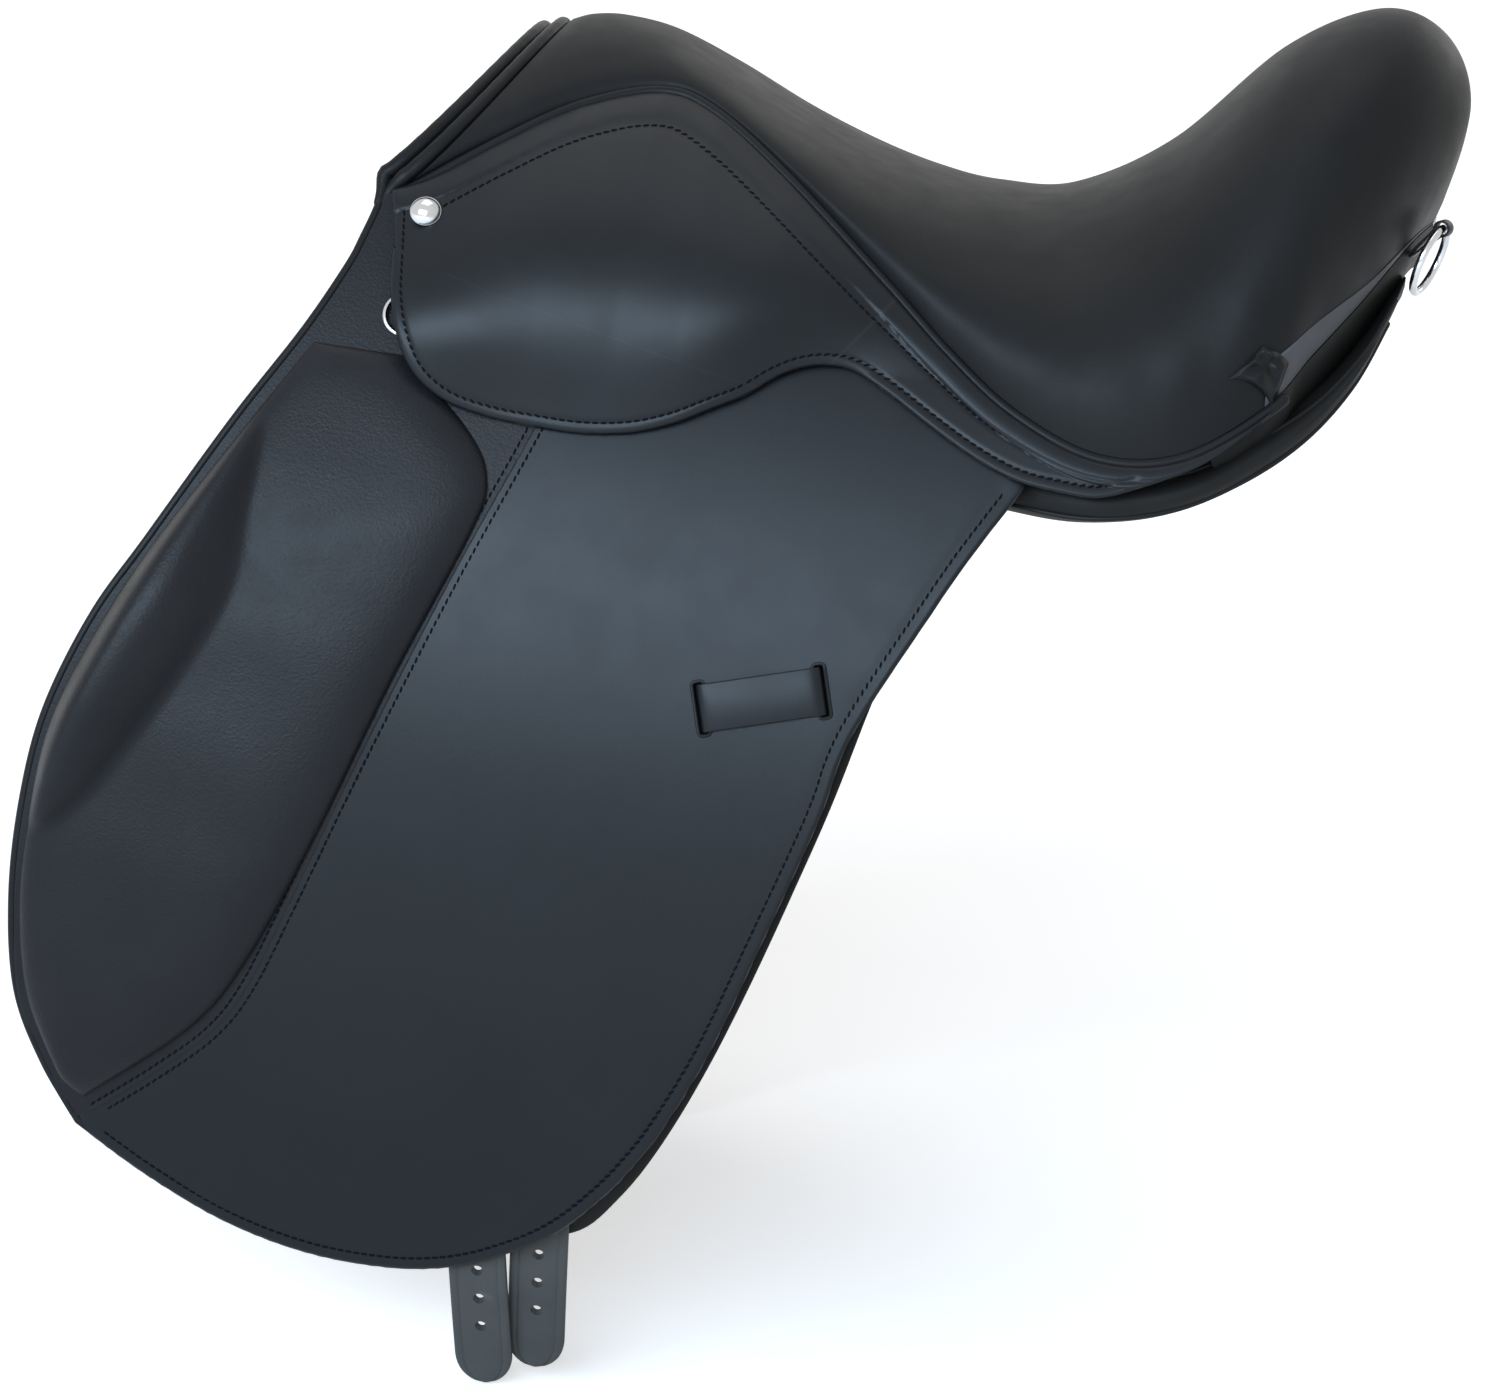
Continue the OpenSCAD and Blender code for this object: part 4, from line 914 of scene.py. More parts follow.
CORNER_REACH, CORNER_RUN, TUCKED_IN = 6.2, 0.3, 0.62
PRESSED, PRESS_W, BORDER_ROLL, SKIRT_EDGE = 0.4, 1.0, 1.5, 1.7
SKIRT_SUNK, FLAP_SUNK, OVERLAY_SUNK = 0.3, 0.2, 0.25


def skirt_top(t):
    """Upper edge, along the welt; the front corner reaches past the welt's end."""
    t = np.asarray(t, float)
    reach = CORNER_REACH * bell(t, CORNER_RUN)
    return below_seam(t, TUCKED_IN * WELT_D) - np.stack([reach, np.zeros_like(reach)], -1)


def skirt_edge(t):
    """Free lower edge behind the lobe, for a place t on the seam; the tail narrows to a point."""
    k = LOBE_TO + (LOW_LAST - LOBE_TO) * (t - TAIL_AT) / (SKIRT_TAIL - TAIL_AT)
    top = skirt_top(t)
    narrow = np.sin(np.clip((SKIRT_TAIL - t) / NARROW_FROM, 0, 1) * math.pi / 2)[:, None]
    return top + (curve(SKIRT_LOW, np.maximum(k, LOBE_TO)) - top) * (NARROWEST + (1 - NARROWEST) * narrow)


def skirt_low():
    """The whole lower edge, from the front corner round the lobe to the tail."""
    lobe = curve(SKIRT_LOW, np.linspace(0, LOBE_TO, 300))
    return even(np.concatenate([lobe, skirt_edge(np.linspace(TAIL_AT, SKIRT_TAIL, 300))[1:]]), 1.0)


def skirt_outline():
    top = skirt_top(np.linspace(SKIRT_FROM, SKIRT_TAIL, 400))
    return np.concatenate([top, skirt_low()[::-1], top[:1]])


def skirt_grid(tops, lows, rows):
    v = spaced(60, 60 / rows)[None, :, None]
    return tops[:, None] + (lows - tops)[:, None] * v


def skirt_rows():
    """Where the skirt is sewn: round its free edge, and under the welt."""
    edge = beside(skirt_low(), EDGE_ROW)[EDGE_SKIP:-EDGE_STOP]
    t = np.linspace(WELT_ROW_FROM, WELT_ROW_TO, 500)
    drop = WELT_ROW * (1 - ROW_DRAWN * np.clip((t - DRAWN_FROM) / DRAWN_RUN, 0, 1))
    return edge, below_seam(t, drop[:, None])


def skirt_relief(places):
    """Rolled border between welt and stitches, and the lines that the stitches press in."""
    top = skirt_top(np.linspace(SKIRT_FROM, SKIRT_TAIL, 700))
    border = edge_distance(places, top) / (WELT_ROW - WELT_D - 3 * SEWN_GAP)
    roll = BORDER_ROLL * np.sqrt(np.clip(1 - (2 * border - 0.9) ** 2, 0, 1))
    edge, under = (PRESSED * bell(edge_distance(places, row), PRESS_W) for row in skirt_rows())
    return roll - (edge + under)


def skirt_forms():
    """Front part above the fold, rear part, and lobe, with edges that meet exactly."""
    outline = skirt_outline()
    bay = TAIL_AT + (SKIRT_TAIL - TAIL_AT) * (BAY_AT - LOBE_TO) / (LOW_LAST - LOBE_TO)
    front, fold_to = curve(SKIRT_LOW, np.array([LOBE_FROM, LOBE_TO]))

    def sheet(tops, lows, rows):
        grid = skirt_grid(tops, lows, rows)
        return leather_sheet(grid, outline, SKIRT_IN, SKIRT_OUT, SKIRT_EDGE, on_skirt, skirt_relief(grid))

    def upper(start, end, count):
        t = np.linspace(start, end, count)
        x = front[0] + (fold_to[0] - front[0]) * t / TAIL_AT
        low = np.where((t < TAIL_AT)[:, None], np.stack([x, fold_z(x)], -1), skirt_edge(t))
        return sheet(skirt_top(t), low, 46)
    x = np.linspace(front[0], fold_to[0], 110)
    lobe = sheet(np.stack([x, fold_z(x)], 1), curve(SKIRT_LOW, np.linspace(LOBE_FROM, LOBE_TO, 110)), 40)
    return upper(SKIRT_FROM, bay, 150), upper(bay, SKIRT_TAIL, 130), lobe


def split_at_fold(path):
    """A flat path's runs above and below the fold line."""
    above = path[:, 1] > fold_z(path[:, 0])
    runs = np.split(path, np.flatnonzero(np.diff(above.astype(int))) + 1)
    runs = [(run, run[0, 1] > fold_z(run[0, 0])) for run in runs if len(run) > SHORTEST_RUN]
    return [run for run, up in runs if up], [run for run, up in runs if not up]


def skirt_stitches():
    edge, under_welt = skirt_rows()
    above, below = split_at_fold(edge)
    return [joined(*[sewn_row(row, SKIRT_OUT - SKIRT_SUNK, on_skirt) for row in rows])
            for rows in (above + [under_welt], below)]


ABOVE_FOLD = ("flap_SIDE", fold_point(FOLD_ABOVE), fold_point(FOLD_NEAR))
BELOW_FOLD = ("skirt_lobe_SIDE", fold_point(-FOLD_NEAR), fold_point(-FOLD_BELOW))
skirt_front, skirt_rear, skirt_lobe = skirt_forms()
pair("skirt_front", skirt_front, SKIRT, "saddle", ["skirt_SIDE"], bend=ABOVE_FOLD)
pair("skirt_rear", skirt_rear, SKIRT, "saddle", ())
pair("skirt_flap", skirt_lobe, SKIRT, "flap_SIDE", ["skirt_lobe_SIDE"], bend=BELOW_FOLD)
upper_stitches, lobe_stitches = skirt_stitches()
pair("skirt_stitching", upper_stitches, THREAD, "saddle", (), bend=ABOVE_FOLD)
pair("lobe_stitching", lobe_stitches, THREAD, "flap_SIDE", (), bend=BELOW_FOLD)


# Flap, with its head under the skirt

FLAP_FRONT = np.array([(-273, 99), (-275, 88), (-278, 77), (-282, 65), (-295, 38), (-317, 0), (-344, -51),
                       (-362, -85), (-376, -126), (-381, -165), (-381, -207), (-375, -248), (-361, -279),
                       (-344, -304)], float)
FLAP_LOW = np.array([(-344, -304), (-313, -323), (-277, -340), (-241, -349), (-206, -350), (-179, -345),
                     (-157, -335), (-134, -319), (-113, -294), (-98, -269)], float)
FLAP_REAR = np.array([(-98, -269), (-82, -230), (-66, -177), (-50, -122), (-42, -87), (-17, -34), (-4, -9),
                      (12, 18)], float)
HEAD_TOP = np.array([(12, 21), (-15, 42), (-55, 66), (-100, 90), (-160, 112), (-228, 104), (-255, 101),
                     (-269, 100)], float)
FRONT_INSET = 3.2
OVERLAY_T, SEAM_GAP, EDGE_INSET = 0.45, 5.5, 5.7
SAG, FLAP_EDGE, ROW_PRESS, GRID_STEP = 0.3, 1.7, 0.35, 3.4
OVERLAY_STOP, BINDING_STOP = len(FLAP_FRONT) - 1.15, len(FLAP_FRONT) - 1.05
BORDER_STEP, BORDER_SKIP, BORDER_STOP = 12.0, 6, 10
BEND_ABOVE, BEND_BELOW = 10, 6
FRONT_ROW = np.array([(-190, 26), (-196, 8), (-219, -52), (-245, -127), (-266, -192), (-279, -229),
                      (-292, -251), (-314, -273), (-338, -294)], float)
KEEPER_AT, KEEPER_SPIN, KEEPER_LEN, KEEPER_W, KEEPER_T = (-81, -79), 17, 46, 20, 2.0
SLOT_W, SLOT_HALF, SLOT_LOW, SLOT_HIGH = 4.1, KEEPER_W / 2 + SLIDE_GAP, -8, 14
LIP_OUT, LIP_CORNER, LIP_R = 0.5, 1.6, 0.75
KEEPER_REACH = (KEEPER_LEN + SLOT_W) / 2
KEEPER = drape_frame(KEEPER_AT, 0, KEEPER_SPIN)
KEEPER_TOP = square_out(KEEPER_AT[1], FLAP_OUT)


def slab(low, high):
    corner = np.array([(x, y, z) for x in (0, 1) for y in (0, 1) for z in (0, 1)], float)
    faces = [[0, 1, 3, 2], [4, 6, 7, 5], [0, 4, 5, 1], [2, 3, 7, 6], [0, 2, 6, 4], [1, 5, 7, 3]]
    return np.array(low) + corner * (np.array(high) - np.array(low)), faces


def flap_edges():
    front = beside(smooth(FLAP_FRONT), FRONT_INSET)
    low = smooth(FLAP_LOW)
    low[0] = front[-1]
    rear = smooth(FLAP_REAR)[::-1]
    top = smooth(HEAD_TOP)[::-1]
    front = np.concatenate([top[:1], front])
    rear = np.concatenate([top[-1:], rear])
    return top, low, front, rear


def flap():
    top, low, front, rear = flap_edges()
    places = patch(top, low, front, rear, GRID_STEP)
    outline = np.concatenate([top, rear, low[::-1], front[::-1]])
    # The leather sags a little between where it is sewn and its free edge
    sag = SAG * np.sin(places[..., 0] * 0.021 + 1) * np.sin(places[..., 1] * 0.017)
    sag = sag * np.clip((20 - places[..., 1]) / 60, 0, 1)
    rows = border_row(), beside(smooth(FRONT_ROW), SEAM_GAP)
    pressed = ROW_PRESS * sum(bell(edge_distance(places, row), PRESS_W) for row in rows)
    sheet = leather_sheet(places, outline, 0, FLAP_OUT, FLAP_EDGE, relief=np.minimum(sag, 0) - pressed)
    cutters = []
    for at in (-KEEPER_REACH, KEEPER_REACH):
        points, faces = slab((at - SLOT_W / 2, -SLOT_HALF, SLOT_LOW), (at + SLOT_W / 2, SLOT_HALF, SLOT_HIGH))
        cutters.append((moved(KEEPER, points), faces))
    return cut_out("flap", sheet, cutters)


def slot_lips():
    """Pressed lip around each slot of the keeper."""
    w, h, r = SLOT_W / 2 + LIP_OUT, SLOT_HALF + LIP_OUT, LIP_CORNER
    corners = [(sx * (w - r) + r * math.cos(a), sy * (h - r) + r * math.sin(a))
               for sx, sy, first in ((1, 1, 0), (-1, 1, 90), (-1, -1, 180), (1, -1, 270))
               for a in np.radians(np.linspace(first, first + 90, 7))]
    loop = np.array([(x, y, KEEPER_TOP + 0.05) for x, y in corners + corners[:1]])
    return joined(*[tube(moved(KEEPER, even(loop + [at, 0, 0], 0.8)), LIP_R, 8, False)
                    for at in (-KEEPER_REACH, KEEPER_REACH)])


def upright(flat):
    """A flat path stood up in the plane of x and z."""
    return np.stack([flat[:, 0], 0 * flat[:, 0], flat[:, 1]], 1)


def keeper():
    """Strap that dives into a slot at each end and is sewn down behind the flap."""
    half = [(9, -1.6), (2.2, -1.6), (0.2, -0.6), (0, 1.2), (0.3, KEEPER_TOP - 0.2), (2.6, KEEPER_TOP + 1.1),
            (9, KEEPER_TOP + 1.5), (KEEPER_REACH, KEEPER_TOP + 1.6)]
    line = np.array(half) - [KEEPER_REACH, 0]
    line = np.concatenate([line, line[-2::-1] * [-1, 1]])
    path = upright(smooth(line, step=0.9))
    return ribbon(moved(KEEPER, path), KEEPER[:3, 1], KEEPER_W, KEEPER_T, 0.6)


def border_row():
    """Where the flap is sewn round its rear and lower edges."""
    _, low, _, rear = flap_edges()
    border = smooth(even(np.concatenate([rear[1:], low[::-1]]), BORDER_STEP), step=1.0)
    return beside(border, -EDGE_INSET)[BORDER_SKIP:-BORDER_STOP]


def flap_stitches():
    line = smooth(FRONT_ROW)
    return joined(sewn_row(border_row(), FLAP_OUT - FLAP_SUNK),
                  sewn_row(line, FLAP_OUT + OVERLAY_T - OVERLAY_SUNK),
                  sewn_row(beside(line, SEAM_GAP)[:-5], FLAP_OUT - FLAP_SUNK))


def front_panel():
    """Thin grained leather laid over the front of the flap, up to between the two rows of stitches."""
    line = smooth(FRONT_ROW)
    edge = beside(line, SEAM_GAP / 2)
    front = beside(smooth(FLAP_FRONT, 0, OVERLAY_STOP), FRONT_INSET + 0.1)
    top = np.linspace(front[0], edge[0], 60)
    low = np.linspace(front[-1], edge[-1], 12)
    places = patch(top, low, front, edge, GRID_STEP)
    fall = rounding(edge_distance(places, edge), 0.5) + 0.3 * bell(edge_distance(places, line), 0.9)
    return shell(on_drape(places, FLAP_OUT + OVERLAY_T - fall), on_drape(places, FLAP_OUT - 0.9))


def binding():
    line = beside(smooth(FLAP_FRONT, 0, BINDING_STOP), BINDING_D / 2)
    return tube(even(on_drape(line, FLAP_OUT / 2), 1.8), BINDING_D / 2, 12)


PAD_FRONT = np.array([(-288, 34), (-311, -4), (-340, -54), (-358, -92), (-371, -130), (-375, -170),
                      (-375, -208), (-368, -248), (-351, -283)], float)
PAD_REAR = np.array([(-250, 34), (-219, 10), (-207, -8), (-210, -30), (-232, -90), (-255, -160), (-278, -219),
                     (-299, -252), (-341, -290)], float)
PAD_H, PAD_EDGE, BLOCK_H, BLOCK_FROM, BLOCK_TO = 12, 1.5, 22, 0.8, 5.1
BLOCK_THIN, BLOCK_WIDE, BLOCK_SKEW, WALL_SHARE = 0.03, 0.33, 1.15, 0.22


def softened(heights, passes):
    """Heights of a grid, evened out between neighbours; the border stays."""
    for _ in range(passes):
        middle = (heights[:-2, 1:-1] + heights[2:, 1:-1] + heights[1:-1, :-2] + heights[1:-1, 2:]) / 4
        heights[1:-1, 1:-1] = 0.5 * heights[1:-1, 1:-1] + 0.5 * middle
    return heights


def knee_pad():
    """Pad with the raised block along its front, in one cover of grained leather."""
    last = len(PAD_FRONT) - 1
    v = spaced(360, 2.2, (0, 0.5, 1.2, 2.2, 3.6, 5.4)) * last
    u = spaced(100, 1.3, (0, 0.5, 1.2, 2.2, 3.6))
    a, b = curve(PAD_FRONT, v)[:, None], curve(PAD_REAR, v)[:, None]
    places = a + (b - a) * u[None, :, None]
    rise = PAD_EDGE + (PAD_H - PAD_EDGE) * (crown(v / last)[:, None] * crown(u)[None]) ** 0.6
    k = np.clip((v - BLOCK_FROM) / (BLOCK_TO - BLOCK_FROM), 0, 1)
    share = BLOCK_THIN + BLOCK_WIDE * np.sin(math.pi * k ** BLOCK_SKEW) ** 0.6
    m = np.clip(u[None] / share[:, None], 0, 1)
    front_wall = np.sin(np.clip(m / WALL_SHARE, 0, 1) * math.pi / 2)
    long_slope = np.cos(np.clip((m - WALL_SHARE) / (1 - WALL_SHARE), 0, 1) * math.pi / 2)
    block = softened(BLOCK_H * np.sin(math.pi * k)[:, None] ** 0.55 * front_wall * long_slope, 6)
    drawn = 0.35 * np.sin(places[..., 1] * 0.11 + places[..., 0] * 0.03) * np.sin(u * math.pi)[None] ** 2
    base = FLAP_OUT + SEWN_GAP
    return shell(on_drape(places, base + rise + block + drawn), on_drape(places, base))


FLAP_BEND = ("flap_SIDE", fold_point(BEND_ABOVE), fold_point(-BEND_BELOW))
pair("flap_sheet", flap(), CALF, "saddle", ["flap_SIDE", "flap_head_SIDE"], bend=FLAP_BEND)
pair("flap_overlay", front_panel(), GRAINED, "saddle", (), bend=FLAP_BEND)
pair("flap_stitching", flap_stitches(), THREAD, "flap_SIDE", ())
pair("flap_roll", binding(), ROLLED, "saddle", ["flap_binding_SIDE"], bend=FLAP_BEND)
pair("knee_roll", knee_pad(), GRAINED, "flap_SIDE", ["knee_pad_SIDE", "knee_block_SIDE"])
pair("leather_keeper", keeper(), CALF, "flap_SIDE", ["keeper_SIDE"])
pair("keeper_lips", slot_lips(), ROLLED, "flap_SIDE", ())


# Sweat flap, girth straps on their webs, and panels

SWEAT_EDGE = np.array([(-260, 30), (-303, -40), (-328, -125), (-322, -220), (-285, -290), (-215, -328),
                       (-140, -329), (-110, -303), (-81, -238), (-51, -138), (-37, -80), (-24, -25),
                       (-18, 22)], float)
SWEAT_OUT, SWEAT_IN, SWEAT_LOW, SWEAT_REAR, SWEAT_STEP, SWEAT_ROUND = -11.9, -15.4, 4.2, 7.2, 4.5, 1.3
BILLET_W, BILLET_T, HOLE_D, HOLE_PITCH, HOLES, FIRST_HOLE, TIP_LEN = 25, 3.5, 5, 14, 6, 30, 16
HOLE_R, HOLE_BACK_R, HOLE_REACH = HOLE_D / 2, 1.7, 9
CREASE, CREASE_AT, CREASE_W = 0.45, 0.69, 0.045
WEB_LOW, WEB_HIGH, WEB_OUT, WEB_T = -20, 62, -5.4, 1.6
# Top, tilt in degrees, length, and offset from the drape
BILLETS = {"front": ((-221, 22), 8.3, 430, -4.8), "rear": ((-165, 22), 3.6, 417, -11.1)}


def sweat_flap():
    front, low = smooth(SWEAT_EDGE, 0, SWEAT_LOW), smooth(SWEAT_EDGE, SWEAT_LOW, SWEAT_REAR)
    rear = smooth(SWEAT_EDGE, SWEAT_REAR)[::-1]
    top = np.linspace(front[0], rear[0], 200)
    places = patch(top, low, front, rear, SWEAT_STEP)
    outline = np.concatenate([front, low, rear[::-1]])
    return leather_sheet(places, outline, SWEAT_IN, SWEAT_OUT, SWEAT_ROUND)


def billet(top, tilt, length, inner):
    """Girth strap with creased edges, a pointed tip and punched holes that narrow behind."""
    c, s = turn_pair(tilt)
    half = BILLET_W / 2
    down = np.concatenate([np.linspace(-half, -half + 6, 9), np.arange(-3, length - TIP_LEN, 4.0),
                           np.linspace(length - TIP_LEN, length, 17)])
    width = np.full(len(down), half)
    head = down < 0
    width[head] = np.sqrt(np.maximum(half ** 2 - down[head] ** 2, 0.3))
    tip = np.clip((down - (length - TIP_LEN)) / TIP_LEN, 0, 1)
    width = width * np.sqrt(np.maximum(1 - tip ** 2.4, 0.002))
    share = np.array([-1, -0.985, -0.95, -0.88, -0.78, -0.735, -0.69, -0.645, -0.6, -0.3])
    share = np.concatenate([share, [0], -share[::-1]])
    edge_fall = np.interp(np.abs(share), [0.86, 0.95, 0.985, 1], [0, 0.2, 0.6, 1.1])
    crease = CREASE * bell(np.abs(share) - CREASE_AT, CREASE_W)
    x = share[None] * width[:, None]
    z = -down[:, None]
    flat = np.stack([top[0] + x * c - z * s, top[1] + x * s + z * c], -1)
    outer = on_drape(flat, (inner + BILLET_T - edge_fall - crease)[None])
    under = on_drape(flat, np.broadcast_to(inner + 0.7 * edge_fall, x.shape))
    points, faces = lathe([(0.01, HOLE_REACH), (HOLE_R, HOLE_REACH), (HOLE_R, 1), (HOLE_BACK_R, -2),
                           (HOLE_BACK_R, -HOLE_REACH), (0.01, -HOLE_REACH)], 24)
    cutters = []
    for d in length - FIRST_HOLE - HOLE_PITCH * np.arange(HOLES):
        hole = drape_frame((top[0] + d * s, top[1] - d * c), inner + BILLET_T / 2)
        cutters.append((moved(hole, points), faces))
    return cut_out("billet", shell(outer, under), cutters)


def web_strips():
    forms = []
    for top, _, _, _ in BILLETS.values():
        x = np.linspace(-BILLET_W / 2, BILLET_W / 2, 13)[:, None]
        z = np.linspace(WEB_LOW, WEB_HIGH, 42)[None]
        flat = np.stack(np.broadcast_arrays(top[0] + x, top[1] + z), -1)
        forms.append(shell(on_drape(flat, WEB_OUT), on_drape(flat, WEB_OUT - WEB_T)))
    return joined(*forms)


PANEL_INNER, PANEL_SQUARE, PANEL_LEAN = 36, 0.75, 0.25
PANEL_LUMPS, PANEL_SHRUNK, PANEL_END = 0.010, 0.008, 2.2
PIPE_FROM, PIPE_TO, PIPE_LINES, PIPE_SUNK, PIPE_R = 7.2, len(PANEL_ROWS) - 1.9, (-0.42, 0.55), 0.993, 1.2


def panel_ring(row, q):
    """Section of a panel across the saddle, read at angles q."""
    x, inset, low, high = (row[..., k] for k in range(4))
    zc, b = (low + high) / 2, (high - low) / 2
    wide = drape(zc) - inset
    yc, a = (wide + PANEL_INNER) / 2, (wide - PANEL_INNER) / 2
    c, s = np.cos(q), np.sin(q)
    z = zc + b * np.sign(s) * np.abs(s) ** PANEL_SQUARE
    y = yc + a * np.sign(c) * np.abs(c) ** PANEL_SQUARE
    lean_in = np.maximum(0, drape(zc) - drape(z)) * np.maximum(c, 0)
    return np.stack(np.broadcast_arrays(x + PANEL_LEAN * b * s, lean_in - y, z), -1)


def panel():
    """Stuffed panel, a little lumpy, tapered to closed ends."""
    count, sides = 150, 64
    t = np.linspace(0, len(PANEL_ROWS) - 1, count)
    around = circle(sides)[None]
    rings = panel_ring(curve(PANEL_ROWS, t)[:, None], around)
    middle = rings.mean(1, keepdims=True)
    i = np.arange(count)[:, None]
    lumps = PANEL_LUMPS * np.sin(i * 0.35 + 2 * np.sin(around)) * np.sin(3 * around + i * 0.11)
    lumpy = middle + (rings - middle) * (1 - PANEL_SHRUNK + lumps)[..., None]
    ends = np.array([0.45, 0.8])
    first = [middle[0] + (rings[0] - middle[0]) * k - [PANEL_END * (1 - k), 0, 0] for k in ends]
    last = [middle[-1] + (rings[-1] - middle[-1]) * k + [PANEL_END * (1 - k), 0, 0] for k in ends[::-1]]
    return loft(np.concatenate([first, lumpy, last]))


def panel_piping():
    """Piped seam between the panel's face and its gusset."""
    t = np.linspace(PIPE_FROM, PIPE_TO, 300)
    rows = curve(PANEL_ROWS, t)
    lines = []
    for q in PIPE_LINES:
        line, outer, inner = (panel_ring(rows, np.full(len(t), angle)) for angle in (q, 0.0, math.pi))
        middle = (outer + inner) / 2
        lines.append(tube(even(middle + (line - middle) * PIPE_SUNK, 2.0), PIPE_R, 10))
    return joined(*lines)


pair("sweat_leather", sweat_flap(), SWEAT, "saddle", ["sweat_flap_SIDE"])
for which, values in BILLETS.items():
    pair(f"{which}_girth_strap", billet(*values), STRAP, f"{which}_billet_SIDE", [f"{which}_billet_SIDE"])
pair("girth_webbing", web_strips(), WEBBING, "saddle", ["girth_webs_SIDE"])
pair("stuffed_panel", panel(), PANEL, "saddle", ["panel_SIDE"])
pair("panel_piping", panel_piping(), ROLLED, "saddle", ())


# Nails, rings and their chapes

NAIL_AT, NAIL_R, NAIL_H, SHANK_R, SHANK_LEN = np.array((-251.0, 84.0)), 6.5, 4, 1.5, 20


def nail():
    """Domed head with a rolled rim, on a shank that goes in to the tree."""
    base = square_out(NAIL_AT[1], SKIRT_OUT + bulge(NAIL_AT)) + SEWN_GAP
    dome_r = (NAIL_R ** 2 + NAIL_H ** 2) / (2 * NAIL_H)
    q = np.linspace(0.002, math.asin(NAIL_R / dome_r), 22)
    dome = np.stack([dome_r * np.sin(q), NAIL_H - dome_r + dome_r * np.cos(q)], 1)
    dome[-1, 1] = 0.35
    profile = np.concatenate([dome, [(NAIL_R, 0.1), (NAIL_R - 0.3, -0.1), (SHANK_R + 0.1, -0.1),
                                     (SHANK_R, -SHANK_LEN), (0.01, -SHANK_LEN)]])
    points, faces = lathe(profile)
    return moved(drape_frame(NAIL_AT, 0), points + [0, 0, base]), faces


FRONT_AT = (-252, 47)
FRONT_RING = drape_frame(FRONT_AT, 0)
FRONT_RING_R, FRONT_WIRE, CHAPE_TURN, FRONT_CHAPE_T, FRONT_CHAPE_W = 8.75, 2.5, 40, 0.8, 6
FRONT_CHAPE_Z = square_out(float(FRONT_AT[1]), FLAP_OUT) + SEWN_GAP
FRONT_RING_Z = FRONT_CHAPE_Z + FRONT_WIRE / 2 + 0.4


def front_ring():
    points, faces = torus(FRONT_RING_R, FRONT_WIRE)
    return moved(FRONT_RING, points + [0, 0, FRONT_RING_Z]), faces


def front_chape():
    """Tab folded round the ring's wire and sewn to the flap."""
    r = FRONT_WIRE / 2 + FRONT_CHAPE_T
    q = np.radians(np.linspace(-90, -270, 13))
    loop = np.stack([FRONT_RING_R + r * np.cos(q), FRONT_RING_Z + r * np.sin(q) - 0.05], 1)
    low, high = [(16.5, 0.35), (12, 0.3)], [(12.3, 2.9), (14.6, 1.7), (16.7, 1.2)]
    base = [0, FRONT_CHAPE_Z]
    flat = even(np.concatenate([np.array(low) + base, loop, np.array(high) + base]), 0.7)
    c, s = turn_pair(CHAPE_TURN)
    path = np.stack([flat[:, 0] * c, flat[:, 0] * s, flat[:, 1]], 1)
    side = FRONT_RING[:3, :3] @ np.array([-s, c, 0])
    return ribbon(moved(FRONT_RING, path), side, FRONT_CHAPE_W, FRONT_CHAPE_T, 0.3)


REAR_AT, REAR_TURN, REAR_OFF, REAR_LEAN = np.array([13.95]), -21, (13, 0, 9), 13
REAR_CHAPE_END, REAR_CHAPE_R, REAR_CHAPE_W, REAR_CHAPE_T = np.array([-12.0, -14.0]), 3.2, 7, 1.0
REAR_RING_R, REAR_WIRE, MOUTH_ANGLE, END_APART = 14.75, 3.5, 0.55, 0.55


def rear_pivot():
    p = curve(SEAM, REAR_AT)[0]
    c, s = turn_pair(REAR_TURN)
    axes = np.array([(c, -s, 0), (s, c, 0), (0, 0, 1)])
    return axes_at(*axes.T, np.array([p[0], -seam_y(REAR_AT)[0], p[1]]) + axes @ REAR_OFF)


def rear_ring():
    points, faces = torus(REAR_RING_R, REAR_WIRE, 84, 20)
    standing = np.stack([points[:, 2], points[:, 1], -points[:, 0] - REAR_RING_R], 1)
    c, s = turn_pair(REAR_LEAN)
    leaning = standing @ np.array([(c, 0, -s), (0, 1, 0), (s, 0, c)])
    return moved(rear_pivot(), leaning), faces


def rear_chape():
    """Folded loop that holds the ring, its two ends running in under the seat's edge."""
    toward = math.atan2(REAR_CHAPE_END[1], REAR_CHAPE_END[0])
    q = np.linspace(toward + MOUTH_ANGLE, toward - MOUTH_ANGLE + 2 * math.pi, 30)
    loop = np.stack([REAR_CHAPE_R * np.cos(q), REAR_CHAPE_R * np.sin(q)], 1)
    n = np.array([-math.sin(toward), math.cos(toward)]) * END_APART
    flat = even(np.concatenate([[REAR_CHAPE_END + n], loop, [REAR_CHAPE_END - n]]), 0.8)
    matrix = rear_pivot()
    return ribbon(moved(matrix, upright(flat)), matrix[:3, 1], REAR_CHAPE_W, REAR_CHAPE_T)


one("nail_heads", both_sides(nail()), CHROME, nodes=["saddle_nails"])
pair("front_dee", front_ring(), CHROME, "front_ring_SIDE", ["front_ring_SIDE"])
pair("front_loop", front_chape(), ROLLED, "flap_SIDE", ["front_chape_SIDE"])
pair("rear_dee", rear_ring(), CHROME, "rear_ring_SIDE", ["rear_ring_SIDE"])
one("rear_loops", both_sides(rear_chape()), ROLLED, nodes=["rear_chapes"])


# Inside: web under the foam, and the solids that show as they are

SEAT_WEB_FROM, SEAT_WEB_TO, SEAT_WEB_SHARE = 2.6, 7.9, 3 / 8


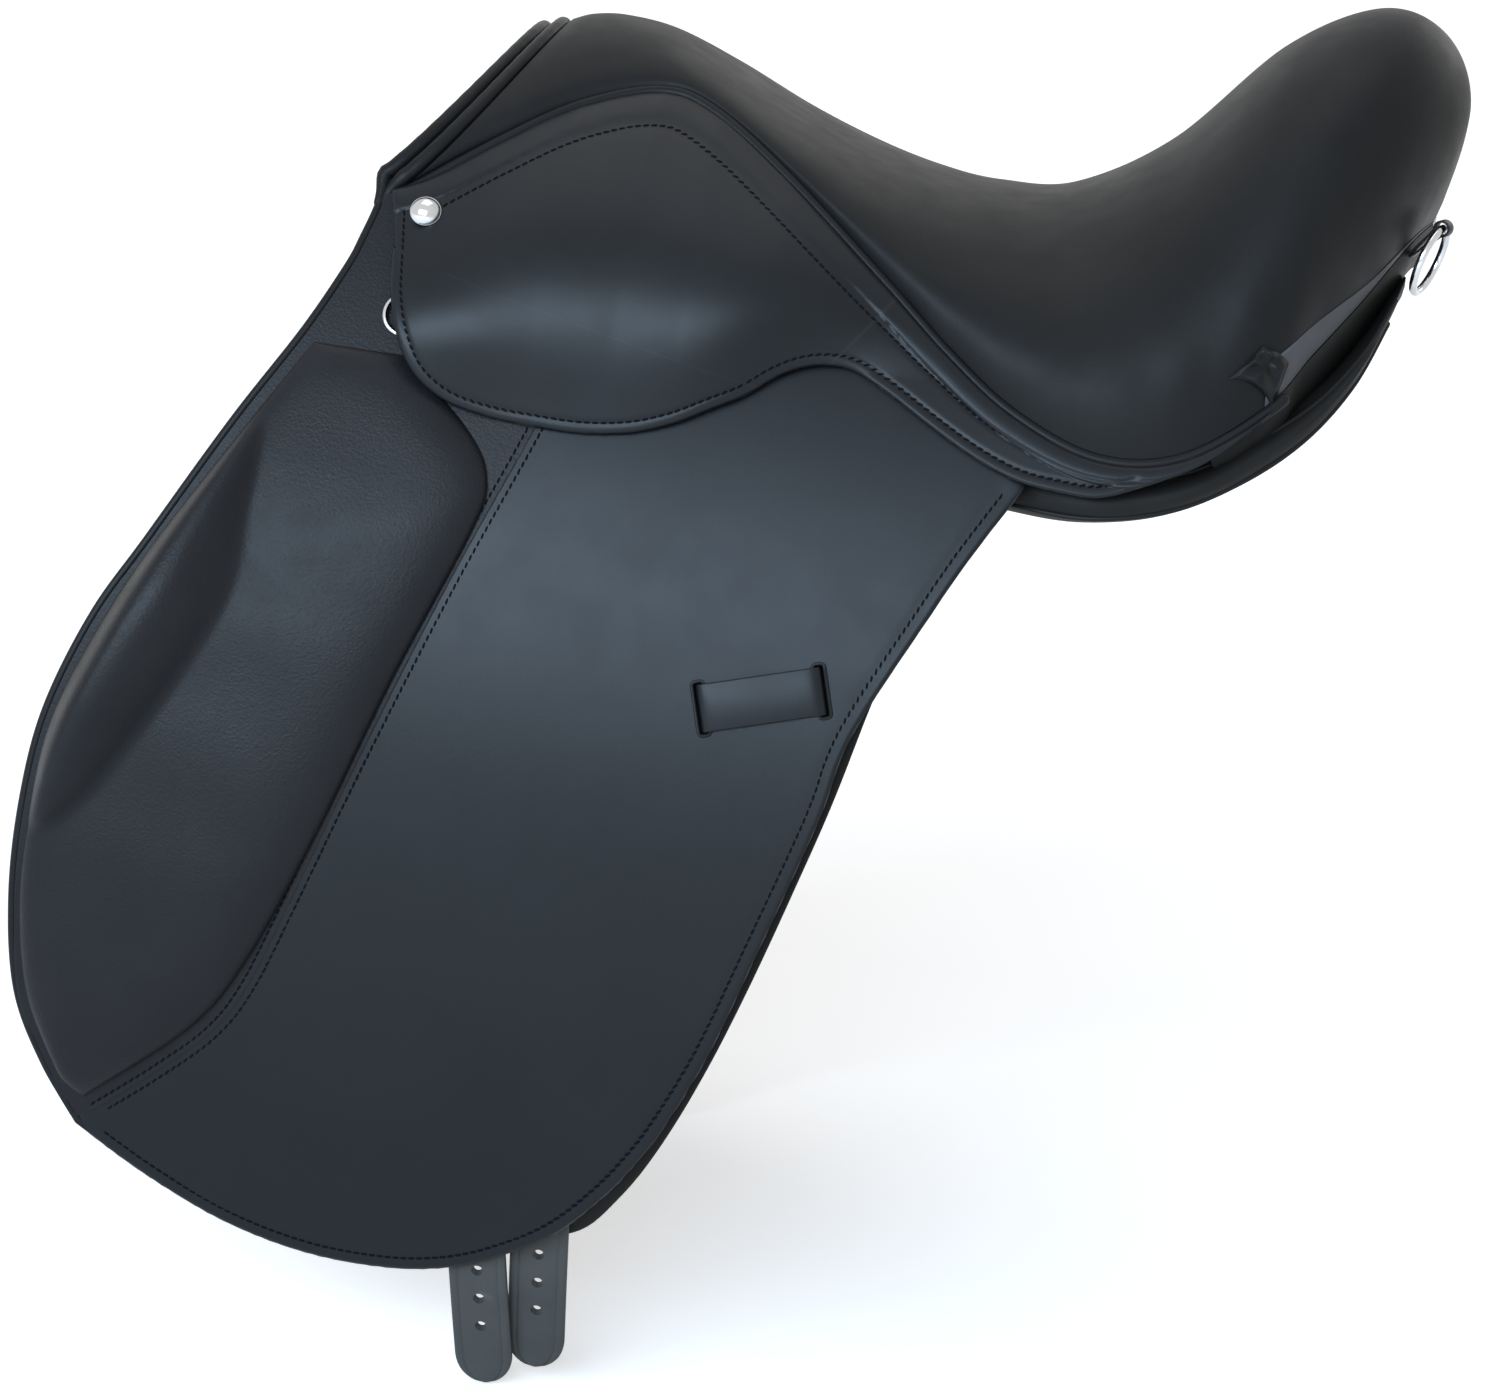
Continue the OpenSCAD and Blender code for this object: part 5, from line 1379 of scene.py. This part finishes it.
def seat_web():
    t = np.linspace(SEAT_WEB_FROM, SEAT_WEB_TO, 60)[:, None]
    a = across(25, SEAT_WEB_SHARE)[None]
    top = COVER_T + 2 * SEWN_GAP + FOAM_T
    return shell(seat_point(t, a, top), seat_point(t, a, top, WEB_T))


one("seat_webbing", seat_web(), WEBBING, nodes=["seat_web"])
FINISH = {WOOD: ("head_arch", "seat_pan", "tree_side_left", "tree_side_right"),
          STEEL: ("gullet_plate", "tree_springs", "stirrup_bar_left", "stirrup_bar_right", "bar_catch_left",
                  "bar_catch_right", "bar_pins", "bar_rivets")}
for material, names in FINISH.items():
    for name in names:
        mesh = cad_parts[name].data
        mesh.materials.clear()
        mesh.materials.append(material)


# Floor, light and background

WORLD_DIM, FLOOR_Z, FLOOR_SIZE = 0.24, -0.4045, 40


def white_to_eye(tree, dim):
    """Light strength: one for rays that the eye, gloss and glass follow, less for the rest."""
    path = node(tree, "ShaderNodeLightPath").outputs
    seen = combined(tree, path["Is Camera Ray"], path["Is Glossy Ray"], "MAXIMUM")
    return fitted(tree, combined(tree, seen, path["Is Transmission Ray"], "MAXIMUM"), 0, 1, dim, 1)


def set_world():
    world = bpy.data.worlds.new("studio")
    bpy.context.scene.world = world
    world.use_nodes = True
    tree = world.node_tree
    background = tree.nodes["Background"].inputs
    background["Color"].default_value = (1, 1, 1, 1)
    feed(tree, background["Strength"], white_to_eye(tree, WORLD_DIM))


def lay_floor():
    bpy.ops.mesh.primitive_plane_add(size=FLOOR_SIZE, location=(0, 0, FLOOR_Z))
    floor = bpy.context.object
    floor.name = "floor"
    material, tree, where = new_material("pale_floor")
    speckle = noise(tree, where, 60, 4, 0.6)
    away = node(tree, "ShaderNodeVectorMath", {0: where}, operation="LENGTH").outputs["Value"]
    glow = combined(tree, fitted(tree, away, 0.5, 3.0, 0.5, 0.9), white_to_eye(tree, 0.0))
    floor.data.materials.append(finished(material, {
        "Base Color": mixed(tree, speckle, (0.93, 0.93, 0.93), (0.96, 0.96, 0.96)), "Roughness": 0.9,
        "Specular IOR Level": 0.0, "Emission Color": (1, 1, 1, 1), "Emission Strength": glow}))


def lamp(name, place, target, size, power, colour=(1, 1, 1)):
    data = bpy.data.lights.new(name, "AREA")
    data.shape, data.energy, data.color = "RECTANGLE", power, colour
    data.size, data.size_y = size
    back = unit(np.array(place, float) - np.array(target, float))
    side = unit(np.cross((0, 0, 1), back))
    added(name, data).matrix_world = Matrix(axes_at(side, np.cross(back, side), back, place).tolist())


bpy.context.scene.view_settings.view_transform = "Standard"
set_world()
lay_floor()
lamp("window", (-1.15, -2.95, 1.15), (-0.1, 0, -0.02), (2.8, 1.2), 150, (0.61, 0.80, 1.0))
lamp("ceiling", (-0.4, 0.2, 2.6), (0, 0, 0), (2.0, 2.0), 14)
lamp("rear_fill", (1.6, 2.2, 1.3), (0, 0, 0), (1.6, 1.2), 10)
